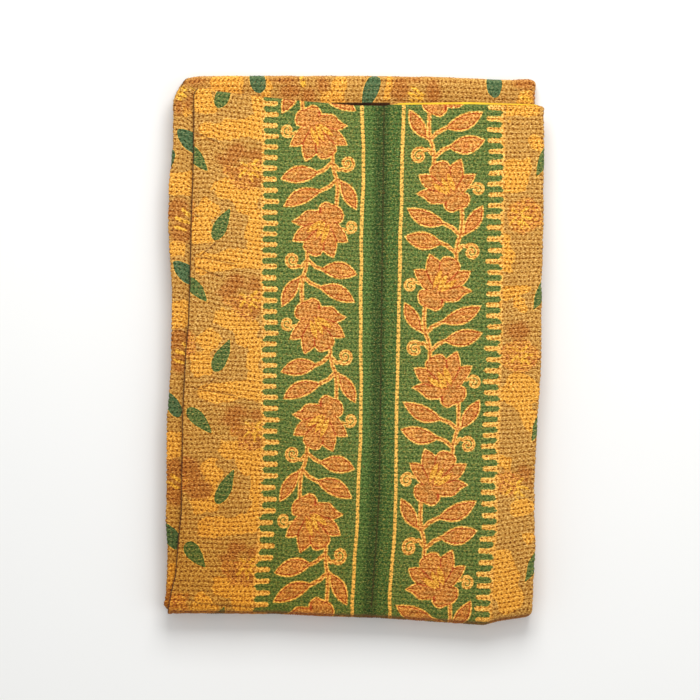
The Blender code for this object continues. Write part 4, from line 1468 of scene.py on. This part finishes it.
class KANTHA_OT_stage(bpy.types.Operator):
    """Floor, soft lights, pale surroundings and the camera above"""

    bl_idname = "kantha.stage"
    bl_label = "Stage"

    def execute(self, context):
        scene = context.scene
        corners = [(x * FLOOR_HALF, y * FLOOR_HALF, -FLOOR_GAP)
                   for x, y in ((-1, -1), (1, -1), (1, 1), (-1, 1))]
        floor = build_mesh("floor", np.array(corners), [(0, 1, 2, 3)], [floor_paint(scene.kantha_colours)])

        lens = bpy.data.cameras.new("camera")
        lens.lens, lens.sensor_width, lens.clip_end = FOCAL_LENGTH, SENSOR_WIDTH, 30
        camera = bpy.data.objects.new("camera", lens)
        shift = folded_cloth(scene.kantha_sizes).shift
        distance = PICTURE * PIXEL * FOCAL_LENGTH / SENSOR_WIDTH
        camera.location = (PICTURE_MIDDLE - shift[0], -shift[1], CAD_BOX[1][2] + distance)
        scene.collection.objects.link(camera)
        scene.camera = camera

        # columns: name, place, size, power
        for name, place, size, power in (
                ("key light", (0.12, 1.05, 1.2), 1.0, 19.0),
                ("fill light", (1.6, -0.8, 2.3), 1.8, 9.6)):
            lamp = bpy.data.lights.new(name, "AREA")
            lamp.size, lamp.energy = size, power
            light = bpy.data.objects.new(name, lamp)
            light.location = place
            aim = np.array(place) / np.linalg.norm(place)
            light.rotation_euler = (math.acos(aim[2]), 0, math.atan2(aim[1], aim[0]) + math.pi / 2)
            light.visible_camera = False
            scene.collection.objects.link(light)
        world = bpy.data.worlds.new("pale surroundings")
        world.use_nodes = True
        fill(world.node_tree, world.node_tree.nodes["Background"], {
            "Color": (1, 1, 1), "Strength": SURROUNDINGS_STRENGTH})
        scene.world = world
        scene.view_settings.view_transform = "Standard"
        return {"FINISHED"}


class KANTHA_OT_cloth(bpy.types.Operator):
    """The printed and quilted cloth, folded, with its hem and lining"""

    bl_idname = "kantha.cloth"
    bl_label = "Quilted cloth"

    def execute(self, context):
        sizes, colours = context.scene.kantha_sizes, context.scene.kantha_colours
        points, faces, slots, values = folded_cloth(sizes).mesh(sizes.lip)
        materials = [printed_cotton(colours), lining_cotton(colours)]
        piece = build_mesh("quilt_cloth", points, faces, materials, slots)
        for name, value in values.items():
            attribute = piece.data.attributes.new(name, "FLOAT_VECTOR", "POINT")
            attribute.data.foreach_set("vector", value.astype(np.float32).ravel())
        declare(piece)
        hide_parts("quilt")
        return {"FINISHED"}


class KANTHA_OT_stitches(bpy.types.Operator):
    """Rows of running stitch over the top, round the folds and along the hems"""

    bl_idname = "kantha.stitches"
    bl_label = "Running stitches"

    def execute(self, context):
        sizes = context.scene.kantha_sizes
        cloth = folded_cloth(sizes)
        tree = stitch_tree(stitching_thread(context.scene.kantha_colours))
        panel = rows_of_stitches(cloth, ("level 1",), ("level 1",))
        edges = rows_of_stitches(cloth, ("wide", "single", "band"), ("level 1",))
        edges += rows_of_stitches(cloth, ("level 1", "wide", "single", "band"), ("wide", "single", "band"))
        edges += rows_of_stitches(cloth, ("wide", "single"), ("level 4", "level 3", "level 2"))
        for name, stitches, scale in (
                ("panel_stitches", panel, 1.0), ("edge_stitches", edges, 1.0),
                ("hem_stitches", hem_stitches(cloth), 1.15)):
            declare(sew(name, tree, sizes, stitches, scale))
        return {"FINISHED"}


class KANTHA_PT_quilt(bpy.types.Panel):
    """Lists the pieces and their sizes and colours"""

    bl_label = "Folded kantha quilt"
    bl_space_type = "VIEW_3D"
    bl_region_type = "UI"
    bl_category = "Kantha"

    def draw(self, context):
        for group in (context.scene.kantha_sizes, context.scene.kantha_colours):
            column = self.layout.column(align=True)
            for name in group.bl_rna.properties.keys():
                if name not in ("rna_type", "name"):
                    column.prop(group, name)
        for operator in OPERATORS:
            self.layout.operator(operator.bl_idname)


OPERATORS = (KANTHA_OT_stage, KANTHA_OT_cloth, KANTHA_OT_stitches)
CLASSES = (KanthaSizes, KanthaColours, *OPERATORS, KANTHA_PT_quilt)


def register():
    for cls in CLASSES:
        bpy.utils.register_class(cls)
    bpy.types.Scene.kantha_sizes = bpy.props.PointerProperty(type=KanthaSizes)
    bpy.types.Scene.kantha_colours = bpy.props.PointerProperty(type=KanthaColours)


def unregister():
    del bpy.types.Scene.kantha_sizes
    del bpy.types.Scene.kantha_colours
    for cls in reversed(CLASSES):
        bpy.utils.unregister_class(cls)


def main():
    register()
    bpy.ops.kantha.stage()
    bpy.ops.kantha.cloth()
    bpy.ops.kantha.stitches()


if __name__ == "__main__":
    main()
